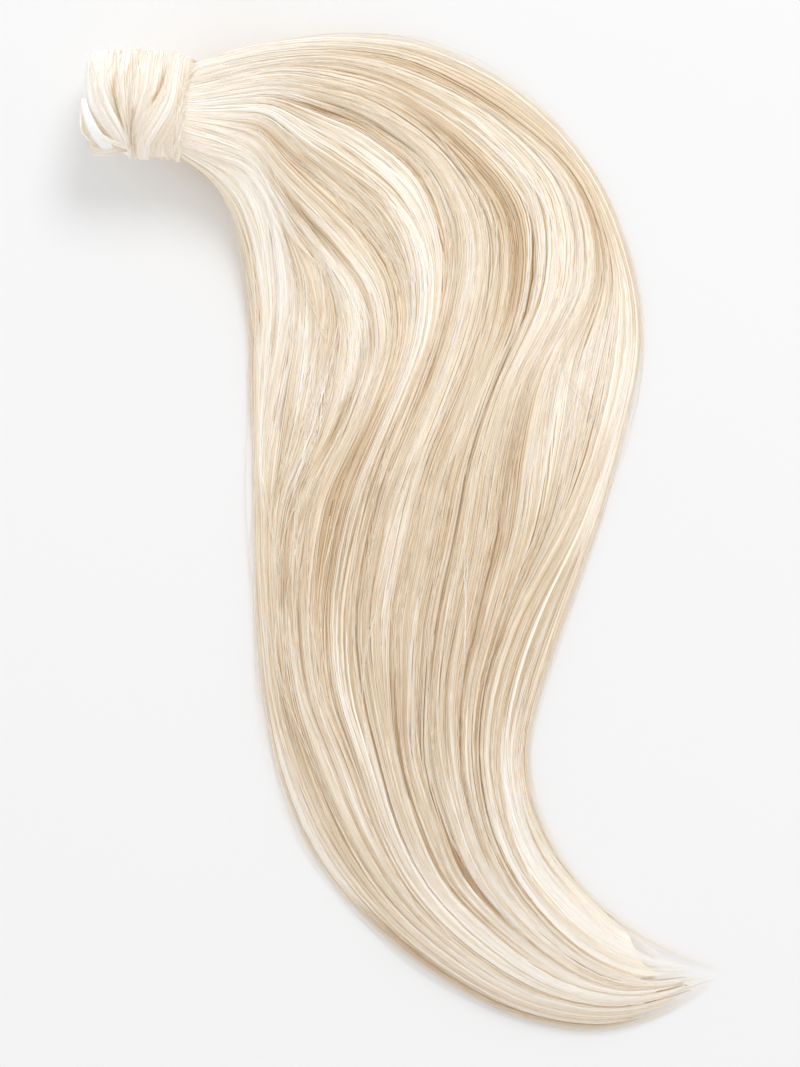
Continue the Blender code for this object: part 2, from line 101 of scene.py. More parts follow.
# Sections across the tail, as the solid has them. Left is the side that falls straight down
# from the wrap, right is the outer sweep. Places are shares of TAIL_REACH and TAIL_DROP, thick
# is a share of TAIL_THICKNESS, round says how much of the gathered bundle's form is left, and
# a to i say where nine flow lines of the hair cross the section, as shares of its width.
Section = namedtuple("Section", "left_x left_y right_x right_y thick round a b c d e f g h i")
SECTIONS = [Section(*row) for row in (
    (0.045, -0.077, 0.091, 0.054, 1.0, 0.8, 0.2, 0.26, 0.33, 0.5, 0.63, 0.73, 0.82, 0.89, 0.95),
    (0.08, -0.107, 0.193, 0.065, 1.02, 0.52, 0.26, 0.3, 0.35, 0.56, 0.7, 0.79, 0.87, 0.92, 0.96),
    (0.1, -0.145, 0.311, 0.069, 1.04, 0.3, 0.24, 0.27, 0.31, 0.52, 0.71, 0.79, 0.89, 0.93, 0.965),
    (0.112, -0.185, 0.458, 0.058, 1.04, 0.14, 0.18, 0.25, 0.3, 0.505, 0.71, 0.78, 0.88, 0.93, 0.96),
    (0.119, -0.221, 0.629, 0.011, 1.02, 0.05, 0.13, 0.25, 0.31, 0.5, 0.69, 0.76, 0.885, 0.93, 0.965),
    (0.118, -0.256, 0.76, -0.065, 1.08, 0.0, 0.09, 0.235, 0.335, 0.48, 0.635, 0.75, 0.885, 0.955, 0.98),
    (0.12, -0.296, 0.832, -0.157, 1.12, 0.0, 0.055, 0.195, 0.32, 0.43, 0.54, 0.675, 0.81, 0.92, 0.975),
    (0.124, -0.347, 0.85, -0.241, 1.12, 0.0, 0.025, 0.155, 0.25, 0.345, 0.455, 0.58, 0.68, 0.8, 0.96),
    (0.126, -0.402, 0.816, -0.332, 1.06, 0.0, 0.02, 0.09, 0.165, 0.28, 0.39, 0.53, 0.65, 0.795, 0.95),
    (0.127, -0.463, 0.77, -0.417, 0.98, 0.0, 0.02, 0.07, 0.135, 0.25, 0.36, 0.52, 0.665, 0.815, 0.92),
    (0.133, -0.528, 0.713, -0.503, 0.9, 0.0, 0.025, 0.075, 0.13, 0.24, 0.355, 0.51, 0.67, 0.8, 0.86),
    (0.146, -0.599, 0.665, -0.579, 0.86, 0.0, 0.035, 0.095, 0.155, 0.265, 0.39, 0.53, 0.675, 0.79, 0.84),
    (0.173, -0.669, 0.638, -0.644, 0.86, 0.0, 0.06, 0.13, 0.22, 0.325, 0.43, 0.54, 0.695, 0.8, 0.845),
    (0.231, -0.745, 0.647, -0.7, 0.9, 0.0, 0.07, 0.15, 0.24, 0.33, 0.43, 0.55, 0.69, 0.79, 0.84),
    (0.324, -0.81, 0.684, -0.748, 0.92, 0.0, 0.065, 0.14, 0.22, 0.3, 0.4, 0.51, 0.65, 0.76, 0.81),
    (0.448, -0.866, 0.739, -0.788, 0.88, 0.0, 0.055, 0.135, 0.205, 0.28, 0.385, 0.5, 0.61, 0.72, 0.78),
    (0.6, -0.911, 0.803, -0.821, 0.76, 0.0, 0.05, 0.125, 0.195, 0.27, 0.36, 0.47, 0.57, 0.68, 0.75),
    (0.752, -0.929, 0.86, -0.841, 0.56, 0.0, 0.05, 0.13, 0.2, 0.27, 0.35, 0.44, 0.52, 0.64, 0.73),
    (0.875, -0.919, 0.917, -0.856, 0.36, 0.0, 0.06, 0.15, 0.22, 0.29, 0.37, 0.45, 0.53, 0.62, 0.73),
    (0.99, -0.888, 1.01, -0.87, 0.15, 0.0, 0.08, 0.18, 0.27, 0.36, 0.46, 0.55, 0.65, 0.76, 0.86),
)]
ROOT_FLOW = (0.12, 0.20, 0.30, 0.44, 0.56, 0.67, 0.77, 0.86, 0.94)
FLOW_AT = np.array((0.0, 0.10, 0.20, 0.30, 0.40, 0.50, 0.60, 0.70, 0.80, 0.88, 1.0))
EXIT_PLACE = 1.0
LAST_PLACE = len(SECTIONS) + 1.0

# Locks side by side across the flow, as the solid has them
Lock = namedtuple("Lock", "width proud")
LOCKS = [Lock(*row) for row in (
    (0.07, 0.0),
    (0.06, 0.3),
    (0.09, 0.05),
    (0.075, -0.2),
    (0.07, 0.45),
    (0.105, 0.1),
    (0.08, 0.35),
    (0.095, 0.0),
    (0.085, 0.4),
    (0.08, 0.1),
    (0.1, 0.3),
    (0.09, 0.0),
)]

# Deep partings that follow the flow for a while: the share of the hair where each opens and
# closes, the places where it does, its half width in hair share, its depth in metres
Parting = namedtuple("Parting", "first last opens closes width depth")
PARTINGS = [Parting(*row) for row in (
    (0.38, 0.38, 2.6, 5.0, 0.014, 0.0024),
    (0.44, 0.495, 2.6, 6.3, 0.012, 0.0026),
    (0.3, 0.3, 3.6, 6.6, 0.012, 0.0018),
    (0.605, 0.605, 4.6, 9.6, 0.012, 0.003),
    (0.76, 0.835, 4.2, 9.0, 0.019, 0.0018),
    (0.31, 0.225, 6.8, 10.4, 0.013, 0.0028),
    (0.605, 0.605, 9.0, 13.0, 0.008, 0.0016),
    (0.12, 0.3, 9.0, 12.6, 0.01, 0.0014),
    (0.505, 0.555, 10.8, 14.0, 0.009, 0.0014),
    (0.74, 0.74, 9.0, 12.4, 0.01, 0.0016),
    (0.86, 0.84, 4.4, 8.0, 0.01, 0.0014),
    (0.615, 0.665, 13.8, 18.6, 0.014, 0.0022),
    (0.4, 0.43, 14.0, 17.6, 0.012, 0.0014),
    (0.32, 0.4, 16.0, 20.0, 0.01, 0.0013),
    (0.69, 0.7, 16.0, 20.2, 0.009, 0.0011),
    (0.23, 0.23, 13.0, 17.6, 0.012, 0.0014),
    (0.78, 0.77, 15.6, 19.4, 0.012, 0.0014),
)]

# Painted highlights (positive lift) and painted shade (negative lift) along the hair, laid out as the
# partings are
Stretch = namedtuple("Stretch", "first last opens closes width lift")
PAINTED_LIGHT_AND_SHADE = [Stretch(*row) for row in (
    (0.075, 0.085, 2.2, 7.6, 0.03, 0.26),
    (0.035, 0.09, 5.8, 10.0, 0.026, 0.26),
    (0.19, 0.18, 2.4, 5.2, 0.026, 0.24),
    (0.06, 0.06, 2.4, 6.6, 0.045, 0.16),
    (0.12, 0.19, 5.8, 9.0, 0.022, 0.22),
    (0.285, 0.265, 5.2, 9.2, 0.032, 0.28),
    (0.4, 0.385, 2.6, 4.8, 0.022, 0.26),
    (0.46, 0.385, 3.8, 9.4, 0.02, 0.28),
    (0.66, 0.68, 4.8, 9.4, 0.024, 0.28),
    (0.5, 0.5, 5.6, 8.4, 0.02, 0.12),
    (0.745, 0.745, 6.0, 9.4, 0.02, 0.24),
    (0.9, 0.89, 7.6, 10.4, 0.03, 0.2),
    (0.96, 0.96, 8.6, 11.6, 0.05, 0.34),
    (0.96, 0.96, 2.4, 5.0, 0.05, 0.22),
    (0.835, 0.775, 8.2, 11.2, 0.026, 0.26),
    (0.54, 0.54, 9.6, 13.2, 0.026, 0.18),
    (0.08, 0.07, 10.4, 13.0, 0.035, 0.16),
    (0.035, 0.035, 13.0, 16.2, 0.035, 0.42),
    (0.225, 0.3, 11.2, 15.2, 0.026, 0.26),
    (0.39, 0.47, 11.6, 16.2, 0.022, 0.26),
    (0.44, 0.53, 15.0, 20.4, 0.03, 0.34),
    (0.19, 0.23, 15.2, 20.0, 0.026, 0.2),
    (0.28, 0.3, 16.6, 20.4, 0.018, 0.2),
    (0.59, 0.61, 17.0, 20.6, 0.022, 0.26),
    (0.68, 0.76, 13.6, 19.2, 0.022, 0.26),
    (0.96, 0.94, 13.0, 20.6, 0.05, 0.28),
    (0.855, 0.85, 14.6, 20.8, 0.026, 0.24),
    (0.86, 0.85, 4.8, 8.4, 0.03, -0.26),
    (0.77, 0.8, 3.6, 6.4, 0.045, -0.26),
    (0.61, 0.605, 4.0, 8.6, 0.02, -0.26),
    (0.46, 0.42, 7.4, 11.4, 0.024, -0.12),
    (0.345, 0.34, 8.6, 12.2, 0.036, -0.26),
    (0.84, 0.92, 10.8, 13.8, 0.04, -0.1),
    (0.81, 0.81, 11.6, 15.4, 0.03, -0.24),
    (0.17, 0.18, 11.8, 14.4, 0.024, -0.2),
    (0.25, 0.25, 10.8, 13.0, 0.02, -0.14),
    (0.05, 0.04, 15.6, 20.4, 0.05, -0.5),
    (0.74, 0.66, 17.2, 20.6, 0.02, -0.3),
    (0.35, 0.39, 16.0, 20.2, 0.018, -0.22),
    (0.56, 0.64, 12.6, 17.0, 0.014, -0.16),
    (0.25, 0.25, 17.6, 20.6, 0.012, -0.2),
    (0.905, 0.89, 15.0, 20.4, 0.01, -0.26),
    (0.81, 0.8, 15.0, 20.2, 0.009, -0.22),
    (0.5, 0.5, 9.0, 15.0, 0.6, -0.09),
)]

# Where the five ends of the tail stop: how wide each is in hair share, and its last place
TailEnd = namedtuple("TailEnd", "width last")
TAIL_ENDS = [TailEnd(*row) for row in (
    (0.13, 20.2),
    (0.245, 20.7),
    (0.185, 21.0),
    (0.25, 20.9),
    (0.19, 20.3),
)]

# Layers of locks laid over the tail, from the inside out, and then the short wisps. Each has
# its number of locks, their half width in hair share, how far they stray across the flow, their
# thickness and their height above the body in metres, the steps along them, and their tone,
# which is lower for the deeper layers as painted shade beneath the outer ones.
Layer = namedtuple("Layer", "name locks width stray thick height steps tone")
LAYERS = [
    Layer("tail_inner_locks", 72, 0.0080, 0.003, 0.0005, 0.0004, 34, 0.46),
    Layer("tail_main_locks", 96, 0.0065, 0.007, 0.0008, 0.0008, 54, 0.52),
    Layer("tail_outer_locks", 74, 0.0050, 0.010, 0.0008, 0.0013, 48, 0.56),
]
SHORT_LAYERS = [
    Layer("tail_upper_wisps", 230, 0.0045, 0.012, 0.0007, 0.0015, 14, 0.56),
    Layer("tail_lower_wisps", 230, 0.0045, 0.012, 0.0007, 0.0015, 14, 0.56),
]

# How the strands of each piece grow: how many there are in a lock, how wide in metres, how
# flat, how far they stray in half widths of the lock and in how many waves, how thin their
# roots are, how uneven their ends are, and the seed of their chances
Growth = namedtuple("Growth", "strands width flatness stray stray_waves thin_roots uneven_ends seed")
GROWTHS = {
    "tail_inner_locks": Growth(4, 0.00240, 0.35, 0.45, 2.5, 0.0, 0.06, 11),
    "tail_main_locks": Growth(6, 0.00120, 0.35, 0.45, 2.5, 0.0, 0.06, 23),
    "tail_outer_locks": Growth(8, 0.00058, 0.5, 0.45, 2.5, 0.0, 0.06, 37),
    "tail_upper_wisps": Growth(6, 0.00042, 0.5, 0.9, 2.5, 1.0, 0.06, 51),
    "tail_lower_wisps": Growth(6, 0.00042, 0.5, 0.9, 2.5, 1.0, 0.06, 67),
    "tail_under_locks": Growth(4, 0.00140, 0.4, 0.35, 2.5, 0.0, 0.06, 19),
    "straying_hairs": Growth(4, 0.00032, 0.9, 1.3, 2.5, 1.0, 0.06, 97),
    "loose_hairs": Growth(1, 0.00020, 0.9, 0.35, 2.5, 1.0, 0.06, 31),
    "wrap_locks": Growth(11, 0.00036, 0.45, 0.6, 2.5, 0.0, 0.0, 71),
    "crossing_hairs": Growth(5, 0.00032, 0.6, 1.2, 2.5, 1.0, 0.3, 73),
    "pinch_band": Growth(7, 0.00036, 0.6, 1.0, 2.5, 0.8, 0.3, 79),
    "rim_hairs": Growth(5, 0.00034, 0.6, 1.2, 2.5, 1.0, 0.4, 89),
    "end_locks": Growth(9, 0.00044, 0.6, 1.1, 5.0, 0.8, 0.5, 83),
}

# Ridges side by side along the wrap, from its head edge: their widths against each other, and
# how proud each stands
WRAP_RIDGES = [Lock(*row) for row in (
    (0.9, -0.2),
    (1.2, 0.3),
    (0.8, -0.1),
    (1.3, 0.45),
    (1.0, 0.0),
    (0.8, -0.35),
    (1.1, 0.25),
    (1.5, 0.5),
    (0.7, 0.0),
)]

# Gaps between the wound strands: the share of the wound hair where each opens and closes, the
# turns in degrees where it does, its half width in hair share, its depth in metres
WRAP_GAPS = [Parting(*row) for row in (
    (0.325, 0.16, 48.0, 140.0, 0.021, 0.0024),
    (0.8, 0.715, 40.0, 108.0, 0.018, 0.0024),
    (0.54, 0.6, 88.0, 168.0, 0.036, 0.0015),
    (0.365, 0.31, 104.0, 170.0, 0.036, 0.0014),
    (0.455, 0.45, 92.0, 165.0, 0.022, 0.0011),
    (0.7, 0.76, 118.0, 175.0, 0.04, 0.0012),
    (0.12, 0.11, 70.0, 140.0, 0.012, 0.0007),
    (0.45, 0.5, 15.0, 90.0, 0.012, 0.0007),
)]

# Tones run from 0, dark, to 1, light. A parting's shade is painted shade: the tone that it loses
# for each metre of its depth, and a lift is the tone that hair gains there.
# Painted shade between the locks and painted light on the proud ones, by the locks' relief
LOCK_SHADE = 0.08
PARTING_SHADE = 115
PARTING_SHOWN = 0.7
# Painted shade in the gaps between the wound strands, for each metre of their depth
GAP_SHADE = 200
ROOT_LIFT = 0.24
# Painted light at the tail's tip, more towards its outer sweep
TIP_PAINTED_LIGHT = 0.24
TIP_EDGE_PAINTED_LIGHT = 0.12
# Darker than the locks that lie on it: painted shade beneath them
BODY_TONE = 0.34
UNDER_TONE = 0.40

# Colours from dark to light hair, and how much of each the hair gives off as a painted glow
# that stands in for light scattered through it
HAIR_COLOURS = ((0.640, 0.450, 0.260), (0.890, 0.755, 0.570), (0.990, 0.955, 0.905))
HAIR_PAINTED_GLOW = (0.50, 0.58, 1.0)
HAIR_PAINTED_GLOW_STRENGTH = 0.21
# A painted glow that keeps the white tape white where it lies in shade
TAPE_PAINTED_GLOW_STRENGTH = 0.22
# The colour of the weave's hollows: painted shade
TAPE_SHADE = (0.88, 0.875, 0.86, 1.0)
TAPE_WHITE = (0.97, 0.97, 0.965, 1.0)
FLOOR_GREY = (0.90, 0.90, 0.905, 1.0)

# Camera and light, in metres except the height of the photo and the sensor
KEY_PLACE = (0.70, 2.0, 2.3)
PIXEL = 0.000408
VIEW_HEIGHT_PX = 1067
CAMERA_DISTANCE = 1.5
HAIR_MIDDLE_HEIGHT = 0.010
SENSOR = 36.0


def blend(low, high, share):
    return low + (high - low) * share


def smooth(low, high, value):
    """0 below low, 1 above high, and a soft step between them."""
    t = np.clip((value - low) / (high - low), 0.0, 1.0)
    return t * t * (3 - 2 * t)


def bump(turn, centre, spread):
    away = (turn - centre + 180.0) % 360.0 - 180.0
    return np.exp(-((away / spread) ** 2))


def waver(generator, place, reach, waves=(0.35, 0.8, 1.7)):
    """A soft random line along the places, within about reach of 0."""
    total = np.zeros_like(place)
    for rank, wave in enumerate(waves, 1):
        total += np.sin(place * wave + generator.uniform(0, 2 * math.pi)) / rank
    return reach * total / 1.5


# Section rows, in metres from where the tail leaves the wrap


def exit_x(turn):
    return -WRAP_EXIT_SETBACK + WRAP_EXIT_SLANT * np.cos(np.radians(turn))


def section_rows():
    """Rows of the section table in metres, after one row inside the wrap and one at its exit."""
    sizes = np.array([TAIL_REACH, TAIL_DROP, TAIL_REACH, TAIL_DROP, TAIL_THICKNESS])
    low, high = -EXIT_RADIUS - WRAP_EXIT_LEAN, EXIT_RADIUS - WRAP_EXIT_LEAN
    inside, inner = BAND_TAIL_X + GAP, 0.86 * EXIT_RADIUS
    left, right = exit_x(180.0) + GAP, exit_x(0.0) + GAP
    rows = [
        np.array([inside, -inner, inside, inner, TAIL_THICKNESS, 1.0, *ROOT_FLOW]),
        np.array([left, low, right, high, TAIL_THICKNESS, 1.0, *ROOT_FLOW]),
    ]
    for section in SECTIONS:
        row = np.array(section, float)
        row[:5] *= sizes
        rows.append(row)
    return np.array(rows)


ROWS = section_rows()


def rows_at(place):
    """Rows read anywhere along the tail, on smooth curves through the table's rows."""
    last = len(ROWS) - 1
    place = np.clip(place, 0.0, last)
    start = np.minimum(place.astype(int), last - 1)
    t = (place - start)[:, None]
    padded = np.vstack([2 * ROWS[0] - ROWS[1], ROWS, 2 * ROWS[last] - ROWS[last - 1]])
    before, here, there, after = (padded[start + k] for k in range(4))
    return 0.5 * (
        2 * here
        + (there - before) * t
        + (2 * before - 5 * here + 4 * there - after) * t**2
        + (3 * here - before - 3 * there + after) * t**3
    )


def across_at(rows, share):
    """Where hair of that share crosses the section: a smooth rising curve through the row's
    nine flow lines, as a share of the section's width."""
    count = len(rows)
    known = np.hstack([np.zeros((count, 1)), rows[:, 6:], np.ones((count, 1))])
    slopes = np.maximum(np.diff(known, axis=1) / np.diff(FLOW_AT), 1e-6)
    inner = 2 * slopes[:, 1:] * slopes[:, :-1] / (slopes[:, 1:] + slopes[:, :-1])
    tangents = np.hstack([slopes[:, :1], inner, slopes[:, -1:]])
    cell = np.clip(np.searchsorted(FLOW_AT, share, side="right") - 1, 0, len(FLOW_AT) - 2)
    width = FLOW_AT[cell + 1] - FLOW_AT[cell]
    t = (share - FLOW_AT[cell]) / width
    at = np.arange(count)
    low, high = known[at, cell], known[at, cell + 1]
    leaving, arriving = tangents[at, cell] * width, tangents[at, cell + 1] * width
    return (
        low * (2 * t**3 - 3 * t**2 + 1)
        + leaving * (t**3 - 2 * t**2 + t)
        + high * (3 * t**2 - 2 * t**3)
        + arriving * (t**3 - t**2)
    )


def relief(locks, share, power, lower=0.0):
    """Height of the locks or ridges across the hair, from -1 between them."""
    total = sum(lock.width for lock in locks)
    height, start = np.zeros_like(share), 0.0
    for lock in locks:
        t = (share - start / total) / (lock.width / total)
        dome = 1 - np.abs(2 * np.clip(t, 0, 1) - 1) ** power
        height = np.where((t >= 0) & (t <= 1), blend(-1.0, lock.proud - lower, dome), height)
        start += lock.width
    return height


def nearness(feature, place, share, fade=0.55):
    """1 in the middle of a parting, stretch or gap, falling softly to 0 round it."""
    way = (place - feature.opens) / (feature.closes - feature.opens)
    window = smooth(0.0, fade, 1 - np.abs(2 * way - 1))
    line = blend(feature.first, feature.last, np.clip(way, 0, 1))
    return window * np.exp(-(((share - line) / feature.width) ** 2))


def dip(features, place, share, fade=0.55):
    """How far the hair dips into its partings or gaps, in metres."""
    depth = np.zeros_like(share)
    for feature in features:
        depth = np.maximum(depth, feature.depth * nearness(feature, place, share, fade))
    return depth


def slimness(place):
    """How slim the locks are there: they share the width of the tail."""
    left_x, left_y, right_x, right_y = rows_at(place)[:, :4].T
    width = np.hypot(right_x - left_x, right_y - left_y)
    round_share = smooth(3.0, 1.0, place)
    return np.clip(width * blend(1.0, 1.5, round_share) / 0.140, 0.30, 1.1)


def tone_at(place, share):
    """How much lighter or darker the hair is there than elsewhere: painted shade between the locks
    and in the partings, a lift at the root, painted light at the tip, and the painted highlights
    and painted shade of the stretches.
    """
    tone = LOCK_SHADE * relief(LOCKS, share, 2.6) * slimness(place)
    tone -= PARTING_SHADE * dip(PARTINGS, place, share)
    tone += ROOT_LIFT * smooth(4.6, 2.4, place)
    tone += (TIP_PAINTED_LIGHT + TIP_EDGE_PAINTED_LIGHT * share) * smooth(14.6, 18.6, place)
    # painted highlights and painted shade along the hair
    for stretch in PAINTED_LIGHT_AND_SHADE:
        tone += stretch.lift * nearness(stretch, place, share)
    return tone


def tail_surface(place, share, under=False):
    """Points on the smooth form of the tail, with its locks and partings."""
    place, share = np.asarray(place, float), np.clip(share, 0.0, 1.0)
    rows = rows_at(place)
    left_x, left_y, right_x, right_y, thickness, roundness = rows[:, :6].T
    across = across_at(rows, share)
    away = np.clip(np.abs(2 * across - 1), 0, 1)
    circle = np.sqrt(1 - away**2)
    lens = (1 - away**2.6) ** 0.75
    roundness = np.clip(roundness, 0, 1)
    radius = np.where(place < EXIT_PLACE, np.abs(right_y - left_y) / 2, EXIT_RADIUS)
    edge = np.minimum(TAIL_EDGE, thickness / 2)
    middle = blend(edge, AXIS_HEIGHT, roundness)
    if under:
        depth = blend(edge, radius, roundness)
        z = middle - depth * blend(np.minimum(1.0, 4 * circle), circle, roundness)
    else:
        height = blend(np.maximum(thickness - TAIL_EDGE, 0), radius, roundness)
        z = middle + height * blend(lens, circle, roundness)
        free = smooth(EXIT_PLACE, EXIT_PLACE + 1.3, place)
        deep = np.minimum(LOCK_DEPTH, 0.3 * thickness) * slimness(place) ** 1.6
        z += free * relief(LOCKS, share, 2.6) * deep * circle
        z -= free * PARTING_SHOWN * dip(PARTINGS, place, share) * np.minimum(1, 1.6 * circle)
    x, y = blend(left_x, right_x, across), blend(left_y, right_y, across)
    return np.column_stack([x + EXIT.x, y + EXIT.y, np.maximum(z, 0.0)])


def tail_normals(place, share, under=False, slip=0.004):
    """Unit normals of the tail's smooth form, pointing out of it."""
    step = 0.05
    along = tail_surface(place + step, share, under) - tail_surface(place - step, share, under)
    low, high = np.clip(share - slip, 0, 1), np.clip(share + slip, 0, 1)
    sideways = tail_surface(place, high, under) - tail_surface(place, low, under)
    normal = np.cross(along, sideways) * (1 if under else -1)
    normal = np.where(normal[:, 2:] * (-1 if under else 1) < 0, -normal, normal)
    return normal / np.maximum(np.linalg.norm(normal, axis=1)[:, None], 1e-9)


# Meshes


def shown(name, data):
    """An object of that name, linked to the scene."""
    thing = bpy.data.objects.new(name, data)
    bpy.context.scene.collection.objects.link(thing)
    return thing


def mesh_object(name, vertices, faces, material):
    """A smooth closed mesh with its normals pointing out."""
    mesh = bpy.data.meshes.new(name)
    mesh.from_pydata([tuple(point) for point in vertices], [], faces)
    work = bmesh.new()
    work.from_mesh(mesh)
    bmesh.ops.recalc_face_normals(work, faces=work.faces)
    if work.calc_volume(signed=True) < 0:
        bmesh.ops.reverse_faces(work, faces=work.faces)
    work.to_mesh(mesh)
    work.free()
    mesh.shade_smooth()
    mesh.materials.append(material)
    return shown(name, mesh)


def grid_faces(rows, columns, closed_rows=False):
    """Quads over rows of points. Each row is a closed loop of that many columns."""
    faces = []
    for row in range(rows if closed_rows else rows - 1):
        here, there = row * columns, (row + 1) % rows * columns
        for column in range(columns):
            turned = (column + 1) % columns
            faces.append((here + column, here + turned, there + turned, there + column))
    return faces


def store(mesh, **values):
    """Keeps a number or a vector for each point of the mesh, under each name."""
    for name, numbers in values.items():
        numbers = np.ascontiguousarray(numbers, np.float32)
        kind, field = ("FLOAT_VECTOR", "vector") if numbers.ndim == 2 else ("FLOAT", "value")
        mesh.attributes.new(name, kind, "POINT").data.foreach_set(field, numbers.ravel())


# Hair strands from guides, in Geometry Nodes


class Nodes:
    """Adds nodes to a tree, sets their options and joins their inputs."""

    def __init__(self, tree):
        self.tree = tree

    def add(self, kind, inputs=None, **options):
        node = self.tree.nodes.new(kind)
        for name, value in options.items():
            setattr(node, name, value)
        for key, value in (inputs or {}).items():
            if isinstance(value, bpy.types.NodeSocket):
                self.tree.links.new(value, node.inputs[key])
            else:
                node.inputs[key].default_value = value
        return node

    def made(self, kind, inputs=None, **options):
        """The first output of a new node."""
        return self.add(kind, inputs, **options).outputs[0]

    def math(self, operation, first, second=0.0):
        return self.made("ShaderNodeMath", {0: first, 1: second}, operation=operation)

    def times(self, first, second):
        return self.math("MULTIPLY", first, second)

    def total(self, first, second):
        return self.math("ADD", first, second)

    def less(self, first, second):
        return self.math("SUBTRACT", first, second)

    def scaled(self, vector, factor):
        return self.made("ShaderNodeVectorMath", {0: vector, "Scale": factor}, operation="SCALE")

    def chance(self, low, high, seed):
        """A random number for each element."""
        return self.add("FunctionNodeRandomValue", {2: low, 3: high, "Seed": seed}).outputs[1]

    def named(self, name, kind="FLOAT"):
        return self.made("GeometryNodeInputNamedAttribute", {"Name": name}, data_type=kind)

    def keep(self, geometry, name, value, domain):
        inputs = {"Geometry": geometry, "Name": name, "Value": value}
        return self.made("GeometryNodeStoreNamedAttribute", inputs, domain=domain)

    def attribute(self, name):
        """A number that the piece's mesh keeps, read in a material."""
        return self.add("ShaderNodeAttribute", attribute_name=name).outputs["Fac"]


def node_group(name, kind, inputs, outputs):
    """A group of nodes, the Nodes to fill it with and its given inputs. Each socket comes with
    its default, or with its kind where it has none."""
    tree = bpy.data.node_groups.new(name, kind)
    kinds = {int: "NodeSocketInt", float: "NodeSocketFloat"}
    for direction, sockets in (("INPUT", inputs), ("OUTPUT", outputs)):
        for label, default in sockets.items():
            kind = kinds.get(type(default), default)
            socket = tree.interface.new_socket(name=label, in_out=direction, socket_type=kind)
            if type(default) in kinds:
                socket.default_value = default
    n = Nodes(tree)
    return tree, n, n.add("NodeGroupInput").outputs


def strand_tree():
    """Hair from guides. Each guide is a line of edges that knows its lock's half width as a
    vector (across), its thickness as a vector (rise) and its tone. The tree lays strands side
    by side in each lock, lets them stray, and sweeps a tapered section along them."""
    inputs = {
        "Geometry": "NodeSocketGeometry",
        "Strands": 10,
        "Width": 0.0008,
        "Flatness": 0.6,
        "Sides": 3,
        "Stray": 0.35,
        "Stray Waves": 2.5,
        "Uneven Ends": 0.06,
        "Thin Roots": 0.0,
        "Tone Spread": 0.30,
        "Seed": 1,
        "Material": "NodeSocketMaterial",
    }
    outputs = {"Geometry": "NodeSocketGeometry"}
    tree, n, wanted = node_group("Hair strands", "GeometryNodeTree", inputs, outputs)
    guides = n.made("GeometryNodeMeshToCurve", {"Mesh": wanted["Geometry"]})
    copies = {"Geometry": guides, "Amount": wanted["Strands"]}
    hair = n.made("GeometryNodeDuplicateElements", copies, domain="SPLINE")
    seeds = [n.total(wanted["Seed"], step * 101.0) for step in range(4)]
    hair = n.keep(hair, "side", n.chance(-1.0, 1.0, seeds[0]), "CURVE")
    hair = n.keep(hair, "lift", n.chance(0.0, 1.0, seeds[1]), "CURVE")
    hair = n.keep(hair, "luck", n.chance(0.0, 1.0, seeds[2]), "CURVE")
    side, lift, luck = n.named("side"), n.named("lift"), n.named("luck")
    across, rise = n.named("across", "FLOAT_VECTOR"), n.named("rise", "FLOAT_VECTOR")
    waves = n.times(n.named("along"), wanted["Stray Waves"])
    place = n.made("ShaderNodeCombineXYZ", {0: waves, 1: n.times(luck, 731.0)})
    waving = {"Vector": place, "Scale": 1.0, "Detail": 2.0}
    noise = n.made("ShaderNodeTexNoise", waving, noise_dimensions="2D")
    stray = n.times(n.less(noise, 0.5), n.times(wanted["Stray"], 2.0))
    dome = n.less(1.0, n.times(side, side))
    up = n.times(n.math("SQRT", dome), n.total(n.times(lift, 0.7), 0.3))
    aside = n.scaled(across, n.total(side, stray))
    offset = n.made("ShaderNodeVectorMath", {0: aside, 1: n.scaled(rise, up)}, operation="ADD")
    hair = n.made("GeometryNodeSetPosition", {"Geometry": hair, "Offset": offset})
    cut = n.math("POWER", n.chance(0.0, 1.0, seeds[3]), 2.0)
    end = n.less(1.0, n.times(cut, wanted["Uneven Ends"]))
    hair = n.made("GeometryNodeTrimCurve", {"Curve": hair, "End": end})
    hair = n.made("GeometryNodeSetCurveNormal", {"Curve": hair, "Normal": rise}, mode="FREE")
    factor = n.add("GeometryNodeSplineParameter").outputs["Factor"]
    taper = n.math("POWER", n.less(1.0, factor), 0.45)
    root = n.math("POWER", n.math("MINIMUM", n.times(factor, 5.0), 1.0), 0.5)
    root = n.less(1.0, n.times(wanted["Thin Roots"], n.less(1.0, root)))
    ends = n.times(n.total(n.times(taper, 0.9), 0.1), root)
    blunt = n.times(ends, n.total(0.6, n.times(luck, 0.8)))
    blunt = n.times(blunt, n.named("slim"))
    circle = {"Resolution": wanted["Sides"], "Radius": 0.5}
    ring = n.made("GeometryNodeCurvePrimitiveCircle", circle)
    corner = n.math("DIVIDE", n.made("GeometryNodeInputIndex"), wanted["Sides"])
    ring = n.keep(ring, "around", corner, "POINT")
    thin = n.times(wanted["Width"], wanted["Flatness"])
    shape = n.made("ShaderNodeCombineXYZ", {0: thin, 1: wanted["Width"], 2: 1.0})
    ring = n.made("GeometryNodeTransform", {"Geometry": ring, "Scale": shape})
    sweep = {"Curve": hair, "Profile Curve": ring, "Scale": blunt, "Fill Caps": True}
    mesh = n.made("GeometryNodeCurveToMesh", sweep)
    own = n.times(n.less(luck, 0.5), wanted["Tone Spread"])
    mesh = n.keep(mesh, "tint", n.total(n.named("tone"), own), "POINT")
    for spare in ("across", "rise", "side", "lift", "tone", "slim"):
        mesh = n.made("GeometryNodeRemoveAttribute", {"Geometry": mesh, "Name": spare})
    mesh = n.made("GeometryNodeSetShadeSmooth", {"Geometry": mesh})
    mesh = n.made("GeometryNodeRealizeInstances", {"Geometry": mesh})
    finish = {"Geometry": mesh, "Material": wanted["Material"]}
    n.add("NodeGroupOutput", {"Geometry": n.made("GeometryNodeSetMaterial", finish)})
    return tree


STRANDS = strand_tree()


